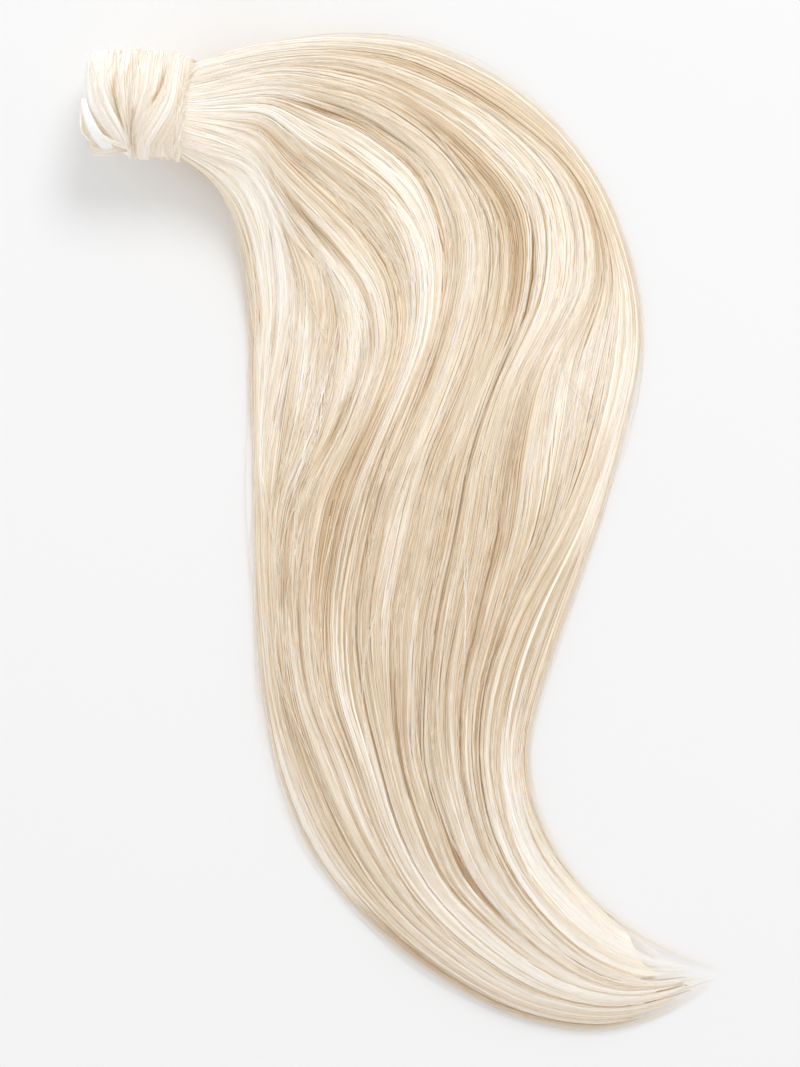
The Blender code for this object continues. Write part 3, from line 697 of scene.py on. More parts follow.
def grow(name, guides, material):
    """A piece of strands grown along the guides, as one plain mesh. Each guide is a tuple of
    its points, across vectors, rise vectors, tones and, where they aren't 1, slimness."""
    edges, start = [], 0
    for points, *_ in guides:
        edges += [(start + step, start + step + 1) for step in range(len(points) - 1)]
        start += len(points)
    along = np.concatenate([np.linspace(0, 1, len(guide[0])) for guide in guides])
    whole = [guide if len(guide) > 4 else (*guide, np.ones(len(guide[0]))) for guide in guides]
    points, across, rise, tone, slim = (np.concatenate(column) for column in zip(*whole))
    mesh = bpy.data.meshes.new(name + "_guides")
    mesh.from_pydata(points.tolist(), edges, [])
    store(mesh, across=across, rise=rise, tone=tone, slim=slim, along=along)
    holder = shown(name + "_guides", mesh)
    modifier = holder.modifiers.new("strands", "NODES")
    modifier.node_group = STRANDS
    wanted = {"Material": material}
    for field, value in GROWTHS[name]._asdict().items():
        wanted[field.replace("_", " ").title()] = value
    for socket in STRANDS.interface.items_tree:
        if socket.in_out == "INPUT" and socket.name in wanted:
            modifier[socket.identifier] = wanted[socket.name]
    evaluated = holder.evaluated_get(bpy.context.evaluated_depsgraph_get())
    grown = bpy.data.meshes.new_from_object(evaluated)
    bpy.data.objects.remove(holder)
    grown.name = name
    lift_off_floor(grown)
    return shown(name, grown)


def lift_off_floor(mesh):
    """Nothing goes below the surface that the hairpiece lies on."""
    points = np.empty(len(mesh.vertices) * 3, np.float32)
    mesh.vertices.foreach_get("co", points)
    points[2::3] = np.maximum(points[2::3], 0.00003)
    mesh.vertices.foreach_set("co", points)
    mesh.update()


# Materials


def new_material(name):
    material = bpy.data.materials.new(name)
    material.use_nodes = True
    material.node_tree.nodes.clear()
    return material, Nodes(material.node_tree)


def end_material(n, roughness, specular, colour, glow, glow_strength, grain):
    """The material's last nodes: a rough surface with a fine grain, and a painted glow that stands in
    for light passed on.
    """
    height, strength, distance = grain
    bumps = {"Height": height, "Strength": strength, "Distance": distance}
    looks = {
        "Base Color": colour,
        "Normal": n.made("ShaderNodeBump", bumps),
        "Roughness": roughness,
        "Specular IOR Level": specular,
        "Emission Color": glow,
        "Emission Strength": glow_strength,
    }
    n.add("ShaderNodeOutputMaterial", {"Surface": n.made("ShaderNodeBsdfPrincipled", looks)})


def fibre_group():
    """Fine fibres along a lock and broader patches, from the place along and round it."""
    inputs = {"Along": 0.0, "Around": 0.0, "Own Number": 0.0, "Fibres": 12.0, "Waves Along": 6.0}
    outputs = {"Mask": 0.0, "Patches": 0.0}
    tree, n, given = node_group("Hair fibres", "ShaderNodeTree", inputs, outputs)
    number = n.times(given["Own Number"], 389.0)
    across = n.times(given["Around"], given["Fibres"])
    along = n.times(given["Along"], given["Waves Along"])
    place = n.made("ShaderNodeCombineXYZ", {0: across, 1: along, 2: number})
    mask = n.made("ShaderNodeTexNoise", {"Vector": place, "Scale": 1.0, "Detail": 1.0})
    place = n.made("ShaderNodeCombineXYZ", {0: n.times(given["Along"], 9.0), 1: number})
    patches = n.made("ShaderNodeTexNoise", {"Vector": place, "Scale": 1.0, "Detail": 0.0})
    n.add("NodeGroupOutput", {"Mask": mask, "Patches": patches})
    return tree


def weave_group():
    """The height of a plain weave, from the place along and across it."""
    inputs = {"Along": 0.0, "Across": 0.0, "Threads Along": 60.0, "Threads Across": 12.0}
    tree, n, given = node_group("Plain weave", "ShaderNodeTree", inputs, {"Height": 0.0})
    warp = n.times(given["Along"], given["Threads Along"])
    weft = n.times(given["Across"], given["Threads Across"])
    over, beside = (n.math("SINE", n.times(threads, math.pi)) for threads in (warp, weft))
    n.add("NodeGroupOutput", {"Height": n.math("ABSOLUTE", n.times(over, beside))})
    return tree


FIBRES = fibre_group()
WEAVE = weave_group()


def hair_material(name, fibres, waves, depth):
    """Blonde hair: colour from the tint and fine fibres along the lock."""
    material, n = new_material(name)
    inputs = {
        "Along": n.attribute("along"),
        "Around": n.attribute("around"),
        "Own Number": n.attribute("luck"),
        "Fibres": fibres,
        "Waves Along": waves,
    }
    fine = n.add("ShaderNodeGroup", inputs, node_tree=FIBRES).outputs
    tone = n.total(n.attribute("tint"), n.times(n.less(fine["Mask"], 0.5), 0.55))
    tone = n.total(tone, n.times(n.less(fine["Patches"], 0.5), 0.30))
    colours = []
    # The second ramp colours the hair's painted glow, standing in for light scattered through it
    for shares in ((1.0, 1.0, 1.0), HAIR_PAINTED_GLOW):
        node = n.add("ShaderNodeValToRGB", {"Fac": tone})
        stops = node.color_ramp.elements
        stops.new(0.45)
        stops[2].position = 1.0
        for stop, hue, share in zip(stops, HAIR_COLOURS, shares):
            stop.color = (*(share * part for part in hue), 1.0)
        colours.append(node.outputs[0])
    end_material(n, 0.42, 0.3, *colours, HAIR_PAINTED_GLOW_STRENGTH, (fine["Mask"], 0.5, depth))
    return material


def tape_material(name, threads_along, threads_across, roughness):
    """White woven tape, on the piece's own along and around attributes."""
    material, n = new_material(name)
    inputs = {
        "Along": n.attribute("along"),
        "Across": n.attribute("around"),
        "Threads Along": threads_along,
        "Threads Across": threads_across,
    }
    height = n.made("ShaderNodeGroup", inputs, node_tree=WEAVE)
    # Darker in the weave's hollows: painted shade, on the same height as the bump
    node = n.add("ShaderNodeValToRGB", {"Fac": height})
    for stop, hue in zip(node.color_ramp.elements, (TAPE_SHADE, TAPE_WHITE)):
        stop.color = hue
    colour = node.outputs[0]
    # A painted glow keeps the tape white where it lies in shade
    end_material(n, roughness, 0.5, colour, colour, TAPE_PAINTED_GLOW_STRENGTH, (height, 0.6, 0.0002))
    return material


BODY_HAIR = hair_material("hair_beneath", 150.0, 12.0, 0.0005)
STRAND_HAIR = hair_material("hair_strands", 8.0, 9.0, 0.0002)
WRAP_HAIR = hair_material("hair_wound", 6.0, 8.0, 0.0002)
TAPE = tape_material("white_tape", 240.0, 40.0, 0.7)
STRIP = tape_material("white_strip", 150.0, 14.0, 0.65)


# The tail


def tail_body():
    """The mass of hair beneath the locks, a little inside the solid's own form. It stops a
    little short of the tail's five ends."""
    places = np.concatenate([np.linspace(0.0, 2.0, 11)[:-1], np.linspace(2.0, 19.9, 88)])
    sides = np.linspace(0, 1, 115)
    low_sides = np.linspace(1, 0, 28)[1:-1]
    ends = np.array([tail_end(side)[0] for side in sides]) - BODY_SHORT
    top_ends = np.convolve(np.pad(ends, 3, mode="edge"), np.full(7, 1 / 7), "valid")
    low_ends = np.interp(low_sides, sides, top_ends)
    rings, tints = [], []
    for place in places:
        late = max(0.0, place - BODY_FANS) / (places[-1] - BODY_FANS)
        here = blend(min(place, BODY_FANS), top_ends, late)
        there = blend(min(place, BODY_FANS), low_ends, late)
        narrow = blend(0.80, 1.0, smooth(20.4, 19.0, place))
        top_shares = 0.5 + (sides - 0.5) * narrow
        low_shares = 0.5 + (low_sides - 0.5) * narrow
        top = tail_surface(here, top_shares)
        low = tail_surface(there, low_shares, under=True)
        ending = smooth(20.2, 16.4, place)
        sunk = BODY_DEPTH * blend(0.55, 1.0, ending) * np.sin(math.pi * sides) ** 0.3
        top -= tail_normals(here, top_shares) * sunk[:, None]
        top[:, 2] = np.maximum(top[:, 2] * blend(0.5, 1.0, ending), 0.0005)
        rings.append(np.vstack([top, low]))
        # The top carries the locks' painted light and shade, over a tone lowered as painted shade
        # beneath them
        tints += [*(BODY_TONE + tone_at(here, top_shares)), *np.full(len(low_shares), UNDER_TONE)]
    columns = len(sides) + len(low_sides)
    faces = grid_faces(len(places), columns)
    last = columns * (len(places) - 1)
    faces.append(tuple(range(columns)))
    lower = [len(sides) - 1, *range(len(sides), columns), 0]
    joints = np.rint(np.linspace(len(sides) - 1, 0, len(lower))).astype(int)
    for index in range(len(lower) - 1):
        corners = [lower[index], lower[index + 1]]
        corners += range(joints[index + 1], joints[index] + 1)
        faces.append(tuple(last + int(corner) for corner in dict.fromkeys(corners)))
    body = mesh_object("tail_body", np.vstack(rings), faces, BODY_HAIR)
    along = np.repeat(places / LAST_PLACE, columns)
    around = np.tile(np.concatenate([sides, low_sides]), len(places))
    store(body.data, tint=tints, along=along, around=around, luck=np.zeros(len(tints)))
    return body


def lock_guide(share, place, width, thick, height, tone, under=False, slip=0.0):
    """One lock's guide on the tail, from the shares and places along it. Its tone comes from
    slip beside it, so that the painted highlights and painted shade end hair by hair."""
    share = np.clip(share, 0.002, 0.998)
    centre = tail_surface(place, share, under)
    normal = tail_normals(place, share, under, 0.020)
    left = tail_surface(place, np.clip(share - width, 0, 1), under)
    right = tail_surface(place, np.clip(share + width, 0, 1), under)
    free = smooth(0.9, 2.4, place)
    thin = np.clip(rows_at(place)[:, 4] / TAIL_THICKNESS, 0.2, 1.0)
    above = (height - BODY_DEPTH) * blend(0.35, 1.0, free) * blend(thin, 1.0, 0.3)
    rise = normal * (thick * blend(0.3, 1.0, free) * thin)[:, None]
    own = np.zeros_like(share) if under else tone_at(place, share + slip)
    slim = slimness(place)
    return centre + normal * above[:, None], (right - left) / 2, rise, tone + own, slim


def tail_end(share):
    """The last place that hair of that share reaches, and the middle of its end."""
    start = 0.0
    for end in TAIL_ENDS:
        if share <= start + end.width or end is TAIL_ENDS[-1]:
            middle = start + end.width / 2
            away = abs(share - middle) / (end.width / 2)
            return end.last - 0.9 * away**2, middle
        start += end.width


def gathered(share, place):
    """Shares drawn towards the middle of their lock, and near the tip into its five ends."""
    total, start = sum(lock.width for lock in LOCKS), 0.0
    drawn = share.copy()
    for lock in LOCKS:
        low, high = start / total, (start + lock.width) / total
        inside = (share >= low) & (share < high)
        pull = blend(0.04, 0.16, smooth(12.0, 19.0, place))
        drawn = np.where(inside, blend(share, (low + high) / 2, pull), drawn)
        start += lock.width
    drawn = blend(share, drawn, smooth(0.0, 0.05, np.minimum(share, 1.0 - share)))
    middle = tail_end(float(share[-1]))[1]
    return blend(drawn, middle, 0.34 * smooth(18.6, 21.0, place))


def lock_places(first, last, steps, share):
    """The places of a lock's steps, closer together where the tail bends."""
    fine = np.linspace(first, last, 120)
    ahead = np.diff(tail_surface(fine, np.full(120, share))[:, :2], axis=0)
    heading = np.unwrap(np.arctan2(ahead[:, 1], ahead[:, 0]))
    pace = np.linalg.norm(ahead, axis=1) + BEND_WEIGHT * np.abs(np.gradient(heading))
    way = np.concatenate([[0.0], np.cumsum(pace)])
    return np.interp(np.linspace(0.0, way[-1], steps), way, fine)


def layer_guides(layer):
    """Guides of long locks, from inside the wrap to the tail's ends."""
    generator = np.random.default_rng(GROWTHS[layer.name].seed)
    guides = []
    for rank in range(layer.locks):
        share = (rank + generator.uniform(0.1, 0.9)) / layer.locks
        last = tail_end(share)[0] - generator.uniform(0.0, 1.0) ** 2 * 1.6
        place = lock_places(generator.uniform(0.3, 0.6), last, layer.steps, share)
        stray = waver(generator, place, layer.stray) * smooth(0.8, 3.0, place)
        shares = gathered(np.clip(share + stray, 0, 1), place)
        width = layer.width * generator.uniform(0.6, 1.4) * blend(1.0, 0.5, smooth(16, 21, place))
        varied = blend(0.07, 0.24, smooth(9.0, 16.0, place))
        tone = layer.tone + generator.normal() * varied + waver(generator, place, 0.05)
        height = layer.height + generator.uniform(-0.3, 0.3) * layer.thick
        slip = generator.normal(0, 0.011)
        guides.append(lock_guide(shares, place, width, layer.thick, height, tone, slip=slip))
    return guides


def short_guides(layer, low_place, high_place):
    """Guides of wisps that rise out of the hair for a while and sink back into it."""
    generator = np.random.default_rng(GROWTHS[layer.name].seed)
    guides = []
    for _ in range(layer.locks):
        share = generator.uniform(0.0, 1.0)
        start = generator.uniform(low_place, high_place)
        last = min(start + generator.uniform(3.0, 7.0), tail_end(share)[0] + 0.2)
        place = lock_places(start, last, layer.steps, share)
        stray = waver(generator, place, layer.stray) * smooth(0.8, 3.0, place)
        shares = gathered(np.clip(share + stray, 0, 1), place)
        way = np.linspace(0, 1, layer.steps)
        height = blend(0.45, 1.0, np.sin(math.pi * np.clip(way, 0.0, 0.9)) ** 0.6) * layer.height
        varied = blend(0.09, 0.20, smooth(9.0, 16.0, place))
        tone = layer.tone + generator.normal() * varied + waver(generator, place, 0.05)
        slip = generator.normal(0, 0.018)
        width, thick = layer.width, layer.thick
        guides.append(lock_guide(shares, place, width, thick, height, tone, slip=slip))
    return guides


def tail_locks():
    guides = [layer_guides(layer) for layer in LAYERS]
    guides.append(short_guides(SHORT_LAYERS[0], 0.5, 8.0))
    guides.append(short_guides(SHORT_LAYERS[1], 8.0, 18.0))
    layers = LAYERS + SHORT_LAYERS
    return [grow(layer.name, lines, STRAND_HAIR) for layer, lines in zip(layers, guides)]


def under_locks():
    """The locks that the tail lies on, pressed flat."""
    generator = np.random.default_rng(13)
    guides = []
    count = 40
    for rank in range(count):
        share = (rank + 0.5) / count
        place = np.linspace(0.6, tail_end(share)[0] - generator.uniform(0, 0.8), 28)
        shares = gathered(np.clip(share + waver(generator, place, 0.006), 0, 1), place)
        tone = 0.42 + generator.normal(0, 0.06) + np.zeros(28)
        guides.append(lock_guide(shares, place, 0.010, 0.0006, 0.0021, tone, under=True))
    return grow("tail_under_locks", guides, STRAND_HAIR)


def straying_hairs():
    """Fine hairs that lie over the tail at a slant to its flow."""
    generator = np.random.default_rng(61)
    guides = []
    for _ in range(120):
        start = generator.uniform(1.2, 12.0)
        place = np.linspace(start, start + generator.uniform(1.5, 4.5), 14)
        share = generator.uniform(0.05, 0.85) if generator.uniform() < 0.6 else 0.22
        drift = generator.normal(0, 0.055) * np.linspace(-0.5, 0.5, 14)
        shares = np.clip(share + generator.normal(0, 0.05) + drift, 0.01, 0.99)
        height = 0.0021 + 0.0005 * np.sin(math.pi * np.linspace(0, 1, 14))
        tone = 0.70 + generator.normal(0, 0.08) + np.zeros(14)
        guides.append(lock_guide(shares, place, 0.006, 0.0004, height, tone))
    return grow("straying_hairs", guides, STRAND_HAIR)


def loose_hairs():
    """Single hairs that leave the outline of the tail and its tip."""
    generator = np.random.default_rng(29)
    guides = []
    for _ in range(150):
        edge = generator.choice([0.0, 1.0])
        start = generator.uniform(2.0, 17.5)
        place = np.linspace(start, min(start + generator.uniform(2.5, 6.0), 21.0), 18)
        way = np.linspace(0, 1, 18)
        share = np.full(18, edge)
        centre = tail_surface(place, share)
        ahead = tail_surface(place + 0.05, share) - tail_surface(place - 0.05, share)
        outward = np.column_stack([ahead[:, 1], -ahead[:, 0], np.zeros(18)])
        outward *= 1 if edge == 0.0 else -1
        outward /= np.linalg.norm(outward, axis=1)[:, None]
        away = generator.uniform(0.0006, 0.0048) * generator.uniform(0.2, 1.0)
        centre = centre + outward * (away * np.sin(math.pi * way) ** 1.3)[:, None]
        centre[:, 2] = np.maximum(centre[:, 2], 0.0004)
        across = outward * 0.0004
        tone = np.full(18, 0.60) + generator.normal(0, 0.05)
        guides.append((centre, across, np.tile([0, 0, 0.0004], (18, 1)), tone))
    return grow("loose_hairs", guides, STRAND_HAIR)


# The wound strand


def around_axis(x, radius, turn, lean=0.0):
    """Points beside the socket's axis. Turn 0 faces +Y, 90 faces up, 180 faces -Y."""
    angle = np.radians(turn)
    z = AXIS_HEIGHT + radius * np.sin(angle)
    y = EXIT.y + radius * np.cos(angle) - lean
    return np.column_stack([x + EXIT.x, y, np.maximum(z, 0.0)])


def head_x(turn):
    return -WRAP_LENGTH + NOTCH_DEPTH * bump(turn, NOTCH_TURN, NOTCH_SPREAD)


def pinch_place(turn):
    """Where the pinch lies along the wrap, from its head edge to its exit."""
    return (-PINCH_BACK - head_x(turn)) / (exit_x(turn) - head_x(turn))


def squeezed(share, turn):
    """A strand's place along the wrap, drawn in towards the pinch. Hair near the pinch starts
    towards it early, and hair far from it turns in late."""
    away = (share - PINCH_SHARE) / np.where(share < PINCH_SHARE, PINCH_SHARE, 1.0 - PINCH_SHARE)
    far = np.abs(away)
    drawn = away * (PINCH_SQUEEZE + (1.0 - PINCH_SQUEEZE) * far**4.5)
    turned = np.mod(turn, 360.0)
    opens, closes = blend(50.0, 88.0, far), blend(130.0, 158.0, far)
    pull = smooth(0.0, 1.0, (turned - opens) / (closes - opens))
    pull = pull * (1 - smooth(215.0, 300.0, turned))
    middle = pinch_place(turn)
    reach = np.where(away < 0, middle, 1.0 - middle)
    return middle + reach * blend(away, drawn, pull)


def wrap_dip(share, turn):
    """How far the wound hair dips into its open gaps, in metres."""
    return dip(WRAP_GAPS, np.mod(turn, 360.0), share, 0.7)


def ridge_relief(share):
    """Height of the wrap's ridges, from -1 between them."""
    return relief(WRAP_RIDGES, share, 2.4, 0.5)


def wrap_surface(share, turn, above=0.0):
    """Points on the wound hair, or that far above it."""
    share, turn = np.clip(share, 0, 1), np.asarray(turn, float)
    place = squeezed(share, turn)
    x = blend(head_x(turn), exit_x(turn), place)
    drop = np.where(share < 0.5, WRAP_HEAD_DROP, WRAP_EXIT_DROP)
    radius = WRAP_RADIUS - drop * np.abs(2 * share - 1) ** 7 + above
    inside = np.minimum(1.0, 8 * np.minimum(share, 1.0 - share))
    radius = radius + WRAP_RIDGE_DEPTH * inside * ridge_relief(share)
    dent = np.exp(-(((share - PINCH_SHARE) / 0.24) ** 2))
    radius = radius - PINCH_DENT * dent * bump(turn, PINCH_TURN, PINCH_SPREAD / 2)
    radius = radius - wrap_dip(share, turn)
    return around_axis(x, radius, turn, WRAP_EXIT_LEAN * place**2)


def wrap_bore(x, turn):
    """Points on the wrap's inner wall, which widens to the exit."""
    flare = np.clip(1.0 + (x - exit_x(turn)) / 0.0075, 0, None)
    radius = blend(BAND_RADIUS + GAP, EXIT_RADIUS + GAP, flare)
    return around_axis(x, radius, turn, WRAP_EXIT_LEAN * flare)


def wrap_body():
    """The mass of the wound hair, hollow round the band."""
    turn = np.linspace(0, 360, 121)[:-1]
    rings, tint, around = [], [], []
    for share in np.linspace(0, 1, 66):
        shares = np.full(len(turn), share)
        rings.append(wrap_surface(shares, turn, -0.0009))
        tint += list(0.74 + wrap_tone(shares, turn))
        around += list(shares)
    for share in (1.0, 0.9, 0.8, 0.5, 0.0):
        rings.append(wrap_bore(blend(head_x(turn), exit_x(turn), share), turn))
        tint += [0.3] * len(turn)
        around += [share] * len(turn)
    faces = grid_faces(len(rings), len(turn), closed_rows=True)
    body = mesh_object("wrap_body", np.vstack(rings), faces, BODY_HAIR)
    along = np.tile(turn / 360, len(rings))
    store(body.data, tint=tint, along=along, around=around, luck=np.full(len(tint), 0.37))
    return body


def wrap_tone(shares, turn):
    """How much lighter or darker the wound hair is there: lighter towards its head edge, with
    painted shade between its ridges and painted light on the proud ones, and painted shade in its
    gaps and at the pinch.
    """
    near = np.exp(-(((shares - PINCH_SHARE) / 0.20) ** 2))
    pinched = near * bump(turn, PINCH_TURN - 12.0, 44.0)
    # Lighter towards the head edge; painted shade between the ridges and painted light on them
    light = 0.14 * smooth(0.50, 0.15, shares) + 0.06 * ridge_relief(shares)
    return light - GAP_SHADE * wrap_dip(shares, turn) - 0.20 * pinched


def axis_guide(x, radius, turn, thick, tone, wide=0.0, turned=0.0, lean=0.0):
    """A guide beside the socket's axis. Its lock is that wide along the axis, in metres, and
    takes up that share of two degrees of turn round it."""
    centre = around_axis(x, radius, turn, lean)
    rise = around_axis(x, radius + thick, turn, lean) - centre
    across = (around_axis(x, radius, turn + 2.0, lean) - centre) * turned
    across[:, 0] += wide
    return centre, across, rise, tone


def wrap_guide(shares, turn, width, thick, height, tone):
    """A guide on the wound hair, from the shares and turns along it."""
    centre = wrap_surface(shares, turn, height)
    left = wrap_surface(np.clip(shares - width, 0, 1), turn, height)
    right = wrap_surface(np.clip(shares + width, 0, 1), turn, height)
    rise = wrap_surface(shares, turn, height + thick) - centre
    return centre, (right - left) / 2, rise, tone + wrap_tone(shares, turn)


def wrap_locks():
    """The wound locks, once round the wrap."""
    generator = np.random.default_rng(5)
    guides = []
    count = 56
    for rank in range(count):
        share = (rank + generator.uniform(0.1, 0.9)) / count
        turn = np.linspace(-92, 268, 41)
        shares = np.clip(share + waver(generator, turn / 40, 0.016), 0.004, 0.996)
        tone = 0.88 + generator.normal(0, 0.08) + waver(generator, turn / 30, 0.06)
        height = generator.uniform(-0.0006, 0.0001)
        guides.append(wrap_guide(shares, turn, 0.016, 0.0003, height, tone))
    return grow("wrap_locks", guides, WRAP_HAIR)


def crossing_hairs():
    """Hairs that cross the wound strand at a slant."""
    generator = np.random.default_rng(17)
    guides = []
    for _ in range(46):
        start = generator.uniform(-20, 110)
        turn = np.linspace(start, start + generator.uniform(40, 110), 16)
        share = generator.uniform(0.02, 0.9)
        drift = generator.uniform(-0.16, 0.16) * np.linspace(-0.5, 0.5, 16)
        shares = np.clip(share + drift, 0.004, 0.996)
        tone = 0.80 + generator.normal(0, 0.10) + np.zeros(16)
        guides.append(wrap_guide(shares, turn, 0.006, 0.0004, 0.0007, tone))
    return grow("crossing_hairs", guides, WRAP_HAIR)


# How the band of hair runs from under the tuft to the pinch: its place along the axis from the
# exit in metres, its turn in degrees, and its distance from the axis in metres
PinchStop = namedtuple("PinchStop", "x turn radius")
PINCH_BAND = [PinchStop(*row) for row in (
    (-0.0405, 168.0, 0.0188),
    (-0.038, 165.0, 0.0204),
    (-0.0345, 162.0, 0.0212),
    (-0.03, 160.0, 0.0215),
    (-0.026, 156.0, 0.0211),
    (-0.022, 156.0, 0.0206),
    (-0.018, 162.0, 0.0204),
)]


def pinch_band():
    """Hair drawn from the tuft to the pinch, and some that crosses down to it."""
    generator = np.random.default_rng(21)
    steps = np.linspace(0, len(PINCH_BAND) - 1, 16)
    x, turn, radius = (
        np.interp(steps, range(len(PINCH_BAND)), column) for column in zip(*PINCH_BAND)
    )
    guides = []
    for _ in range(26):
        aside = generator.uniform(-0.8, 1.3)
        fan = blend(0.25, 1.0, np.abs(np.clip(steps / 4 - 1, -1, 0.6)) ** 1.5)
        here = turn + 15.0 * aside * fan
        up = generator.uniform(-0.0012, 0.0004)
        # darker where it runs into the pinch: painted shade
        tone = 0.80 + generator.normal(0, 0.10) - 0.30 * smooth(3.0, 4.5, steps)
        guides.append(axis_guide(x, radius + up, here, 0.0005, tone, turned=0.9))
    for _ in range(9):
        way = np.linspace(0, 1, 16)
        here = blend(generator.uniform(118, 136), generator.uniform(150, 160), way)
        here += generator.uniform(2, 7) * np.sin(math.pi * way)
        reach = blend(-0.0338, generator.uniform(-0.0228, -0.0185), way)
        radius = 0.0219 - 0.0008 * way + generator.uniform(-0.0003, 0.0002)
        # darker where it runs into the pinch: painted shade
        tone = 0.86 + generator.normal(0, 0.08) - 0.3 * smooth(0.6, 1.0, way)
        guides.append(axis_guide(reach, radius, here, 0.0004, tone, turned=0.7))
    return grow("pinch_band", guides, WRAP_HAIR)


def rim_hairs():
    """Hairs at the wrap's rim that stray over the root of the tail."""
    generator = np.random.default_rng(43)
    guides = []
    for _ in range(34):
        start = generator.uniform(-30, 150)
        way = np.linspace(0, 1, 14)
        turn = start + way * generator.uniform(25, 70)
        beyond = generator.uniform(0.0002, 0.0042) * (2 * way - 1) ** 2
        beyond -= generator.uniform(0, 0.0016)
        radius = blend(WRAP_RADIUS - 0.0011, EXIT_RADIUS + 0.0007, smooth(-0.0012, 0.0024, beyond))
        x = exit_x(turn) + beyond
        tone = 0.72 + generator.normal(0, 0.10) + np.zeros(14)
        guide = axis_guide(x, radius, turn, 0.0004, tone, wide=0.0006, lean=WRAP_EXIT_LEAN)
        guides.append(guide)
    return grow("rim_hairs", guides, WRAP_HAIR)


# The notch: the white strip and the tuft


def tab_width(share):
    return TAB_WIDTH * np.minimum(1.0, 0.50 + 1.2 * share)


def tab_seat(share):
    return BAND_RADIUS + GAP + END_UNDER_TAB * np.minimum(1.0, 0.25 + 2.5 * share)


def closure_strip():
    """The white hook-and-loop strip with rounded edges, flat on the hair in the notch."""
    shares = np.linspace(0, 1, 60)
    turn = blend(STRIP_START_TURN, STRIP_END_TURN, shares)
    corners = []
    for step in range(24):
        angle = 2 * math.pi * step / 24
        across = 0.5 - 0.5 * math.copysign(abs(math.cos(angle)) ** 0.35, math.cos(angle))
        up = 0.5 + 0.5 * math.copysign(abs(math.sin(angle)) ** 0.5, math.sin(angle))
        corners.append((across, up))
    rings = []
    for share, at in zip(shares, turn):
        edge = head_x(at) - NOTCH_GAP
        width, low = tab_width(share), tab_seat(share) + GAP
        ring = []
        for across, up in corners:
            radius = low + STRIP_LIFT * math.sin(math.pi * share) + TAB_THICKNESS * up
            x = edge - width * across
            ring.append(around_axis(np.array([x]), np.array([radius]), np.array([at]))[0])
        rings.append(ring)
    columns = len(corners)
    last = columns * (len(rings) - 1)
    faces = grid_faces(len(rings), columns)
    faces += [tuple(range(columns)), tuple(range(last, last + columns))]
    strip = mesh_object("closure_strip", np.vstack(rings), faces, STRIP)
    around = np.tile([corner[0] for corner in corners], len(rings))
    store(strip.data, along=np.repeat(shares, columns), around=around)
    return strip


def end_locks():
    """Hair of the loose end, from under the strip to the tuft beyond it."""
    generator = np.random.default_rng(9)
    guides = []
    share = np.linspace(0.0, 1.0, 20)
    turn = blend(STRIP_START_TURN, STRIP_END_TURN, share)
    swell = smooth(0.06, 0.42, share) * smooth(1.15, 0.70, share)
    edge = head_x(turn) - NOTCH_GAP
    low = BAND_RADIUS + GAP
    near = tab_width(share) + NOTCH_GAP
    for _ in range(26):
        beside, up = generator.uniform(0, 1), generator.uniform(0.0, 1.0)
        back = near - 0.0010 + (END_WIDTH + 0.0006) * swell * beside
        radius = low + END_RISE * blend(0.25, 0.80, swell) * up * (1 - 0.55 * beside**2)
        tone = 0.80 + generator.normal(0, 0.09) + np.zeros(len(turn))
        guides.append(axis_guide(edge - back, radius, turn, 0.0007, tone, wide=0.0009))
    for _ in range(10):
        back = near * generator.uniform(0.05, 0.95)
        radius = blend(low, tab_seat(share), generator.uniform(0.2, 0.75))
        tone = np.full(len(turn), 0.55)
        guides.append(axis_guide(edge - back, radius, turn, 0.0005, tone, wide=0.0006))
    return grow("end_locks", guides, WRAP_HAIR)


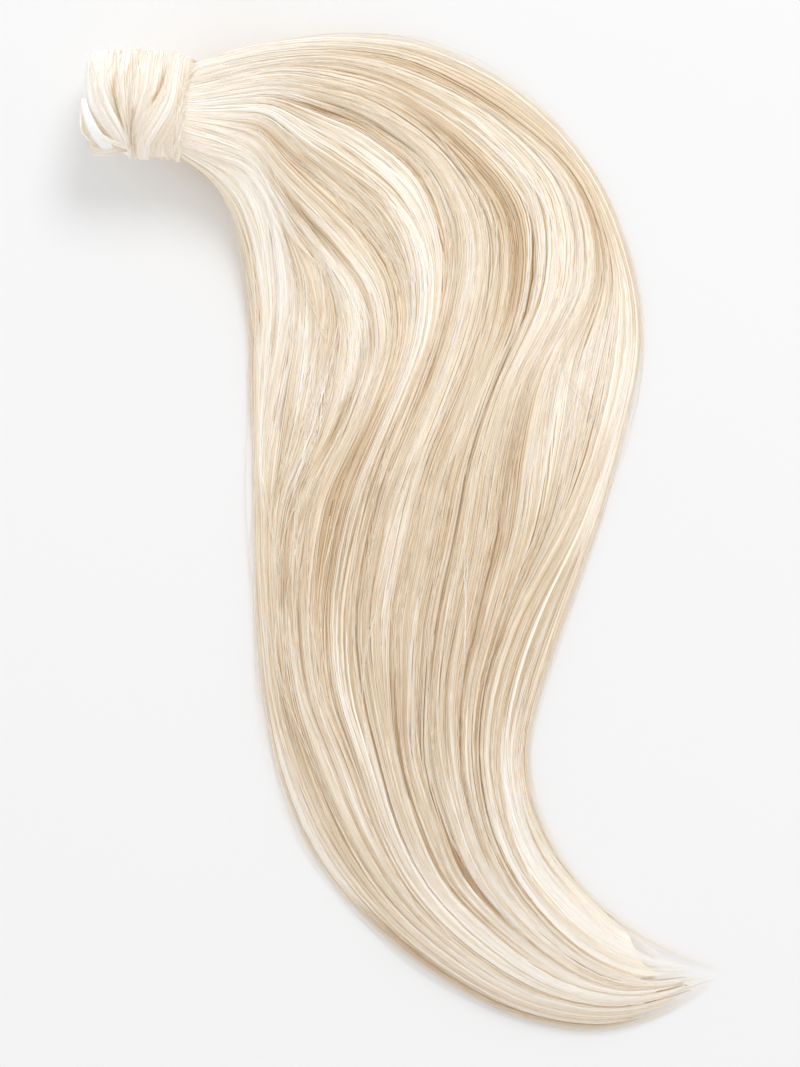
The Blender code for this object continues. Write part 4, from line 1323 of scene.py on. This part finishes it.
def band_tube():
    """The woven band, with a rolled hem at the head end."""
    sides = 96
    turn = np.linspace(0, 360, sides + 1)[:-1]
    wall = 0.0018
    bore = BAND_RADIUS - wall
    profile = [(0.0, bore + 0.2 * wall), (0.0006, bore)]
    profile += [(share * (BAND_TAIL_X - BAND_HEAD_X), bore) for share in (0.25, 0.5, 0.75, 1.0)]
    profile += [((BAND_TAIL_X - BAND_HEAD_X) * share, BAND_RADIUS) for share in (1.0, 0.5, 0.15)]
    profile += [(0.0006, BAND_RADIUS), (0.0, BAND_RADIUS - 0.2 * wall)]
    rings = [
        around_axis(np.full(sides, BAND_HEAD_X + back), np.full(sides, radius), turn)
        for back, radius in profile
    ]
    faces = grid_faces(len(rings), sides, closed_rows=True)
    tube = mesh_object("band_tube", np.vstack(rings), faces, TAPE)
    around = np.repeat([back / 0.0345 for back, _ in profile], sides)
    store(tube.data, along=np.tile(turn / 360, len(rings)), around=around)
    return tube


# The stage, the light and the camera


def floor():
    material, n = new_material("floor")
    looks = {"Base Color": FLOOR_GREY, "Roughness": 0.8}
    n.add("ShaderNodeOutputMaterial", {"Surface": n.made("ShaderNodeBsdfPrincipled", looks)})
    half = 4.0
    corners = [(-half, -half, 0), (half, -half, 0), (half, half, 0), (-half, half, 0)]
    mesh = bpy.data.meshes.new("floor")
    mesh.from_pydata(corners, [], [(0, 1, 2, 3)])
    mesh.materials.append(material)
    plane = shown("floor", mesh)


def lights():
    world = bpy.data.worlds.new("studio")
    bpy.context.scene.world = world
    world.use_nodes = True
    background = world.node_tree.nodes["Background"]
    background.inputs["Color"].default_value = (1.0, 1.0, 1.0, 1.0)
    background.inputs["Strength"].default_value = 0.80
    light = bpy.data.lights.new("key", "AREA")
    light.shape = "DISK"
    light.size = 1.4
    light.energy = 32.0
    lamp = shown("key", light)
    lamp.location = KEY_PLACE
    lamp.rotation_euler = Vector(KEY_PLACE).to_track_quat("Z", "Y").to_euler()
    bpy.context.scene.view_settings.view_transform = "Standard"


def camera():
    eye = shown("camera", bpy.data.cameras.new("camera"))
    eye.location = (0.0, 0.0, HAIR_MIDDLE_HEIGHT + CAMERA_DISTANCE)
    eye.data.sensor_width = SENSOR
    eye.data.lens = SENSOR * CAMERA_DISTANCE / (PIXEL * VIEW_HEIGHT_PX)
    bpy.context.scene.camera = eye


def place_piece(piece, slot, *nodes):
    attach(piece, "root")
    if nodes:
        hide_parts(*nodes)


place_piece(tail_body(), "blonde_hair", "tail_hair")
for locks in (*tail_locks(), under_locks(), straying_hairs(), loose_hairs()):
    place_piece(locks, "blonde_hair")
place_piece(wrap_body(), "blonde_hair", "wrap_strand")
for locks in (wrap_locks(), crossing_hairs(), pinch_band(), rim_hairs()):
    place_piece(locks, "blonde_hair")
place_piece(closure_strip(), "white_band", "closure_tab")
place_piece(end_locks(), "blonde_hair", "strand_end")
place_piece(band_tube(), "white_band", "base_band")
floor()
lights()
camera()
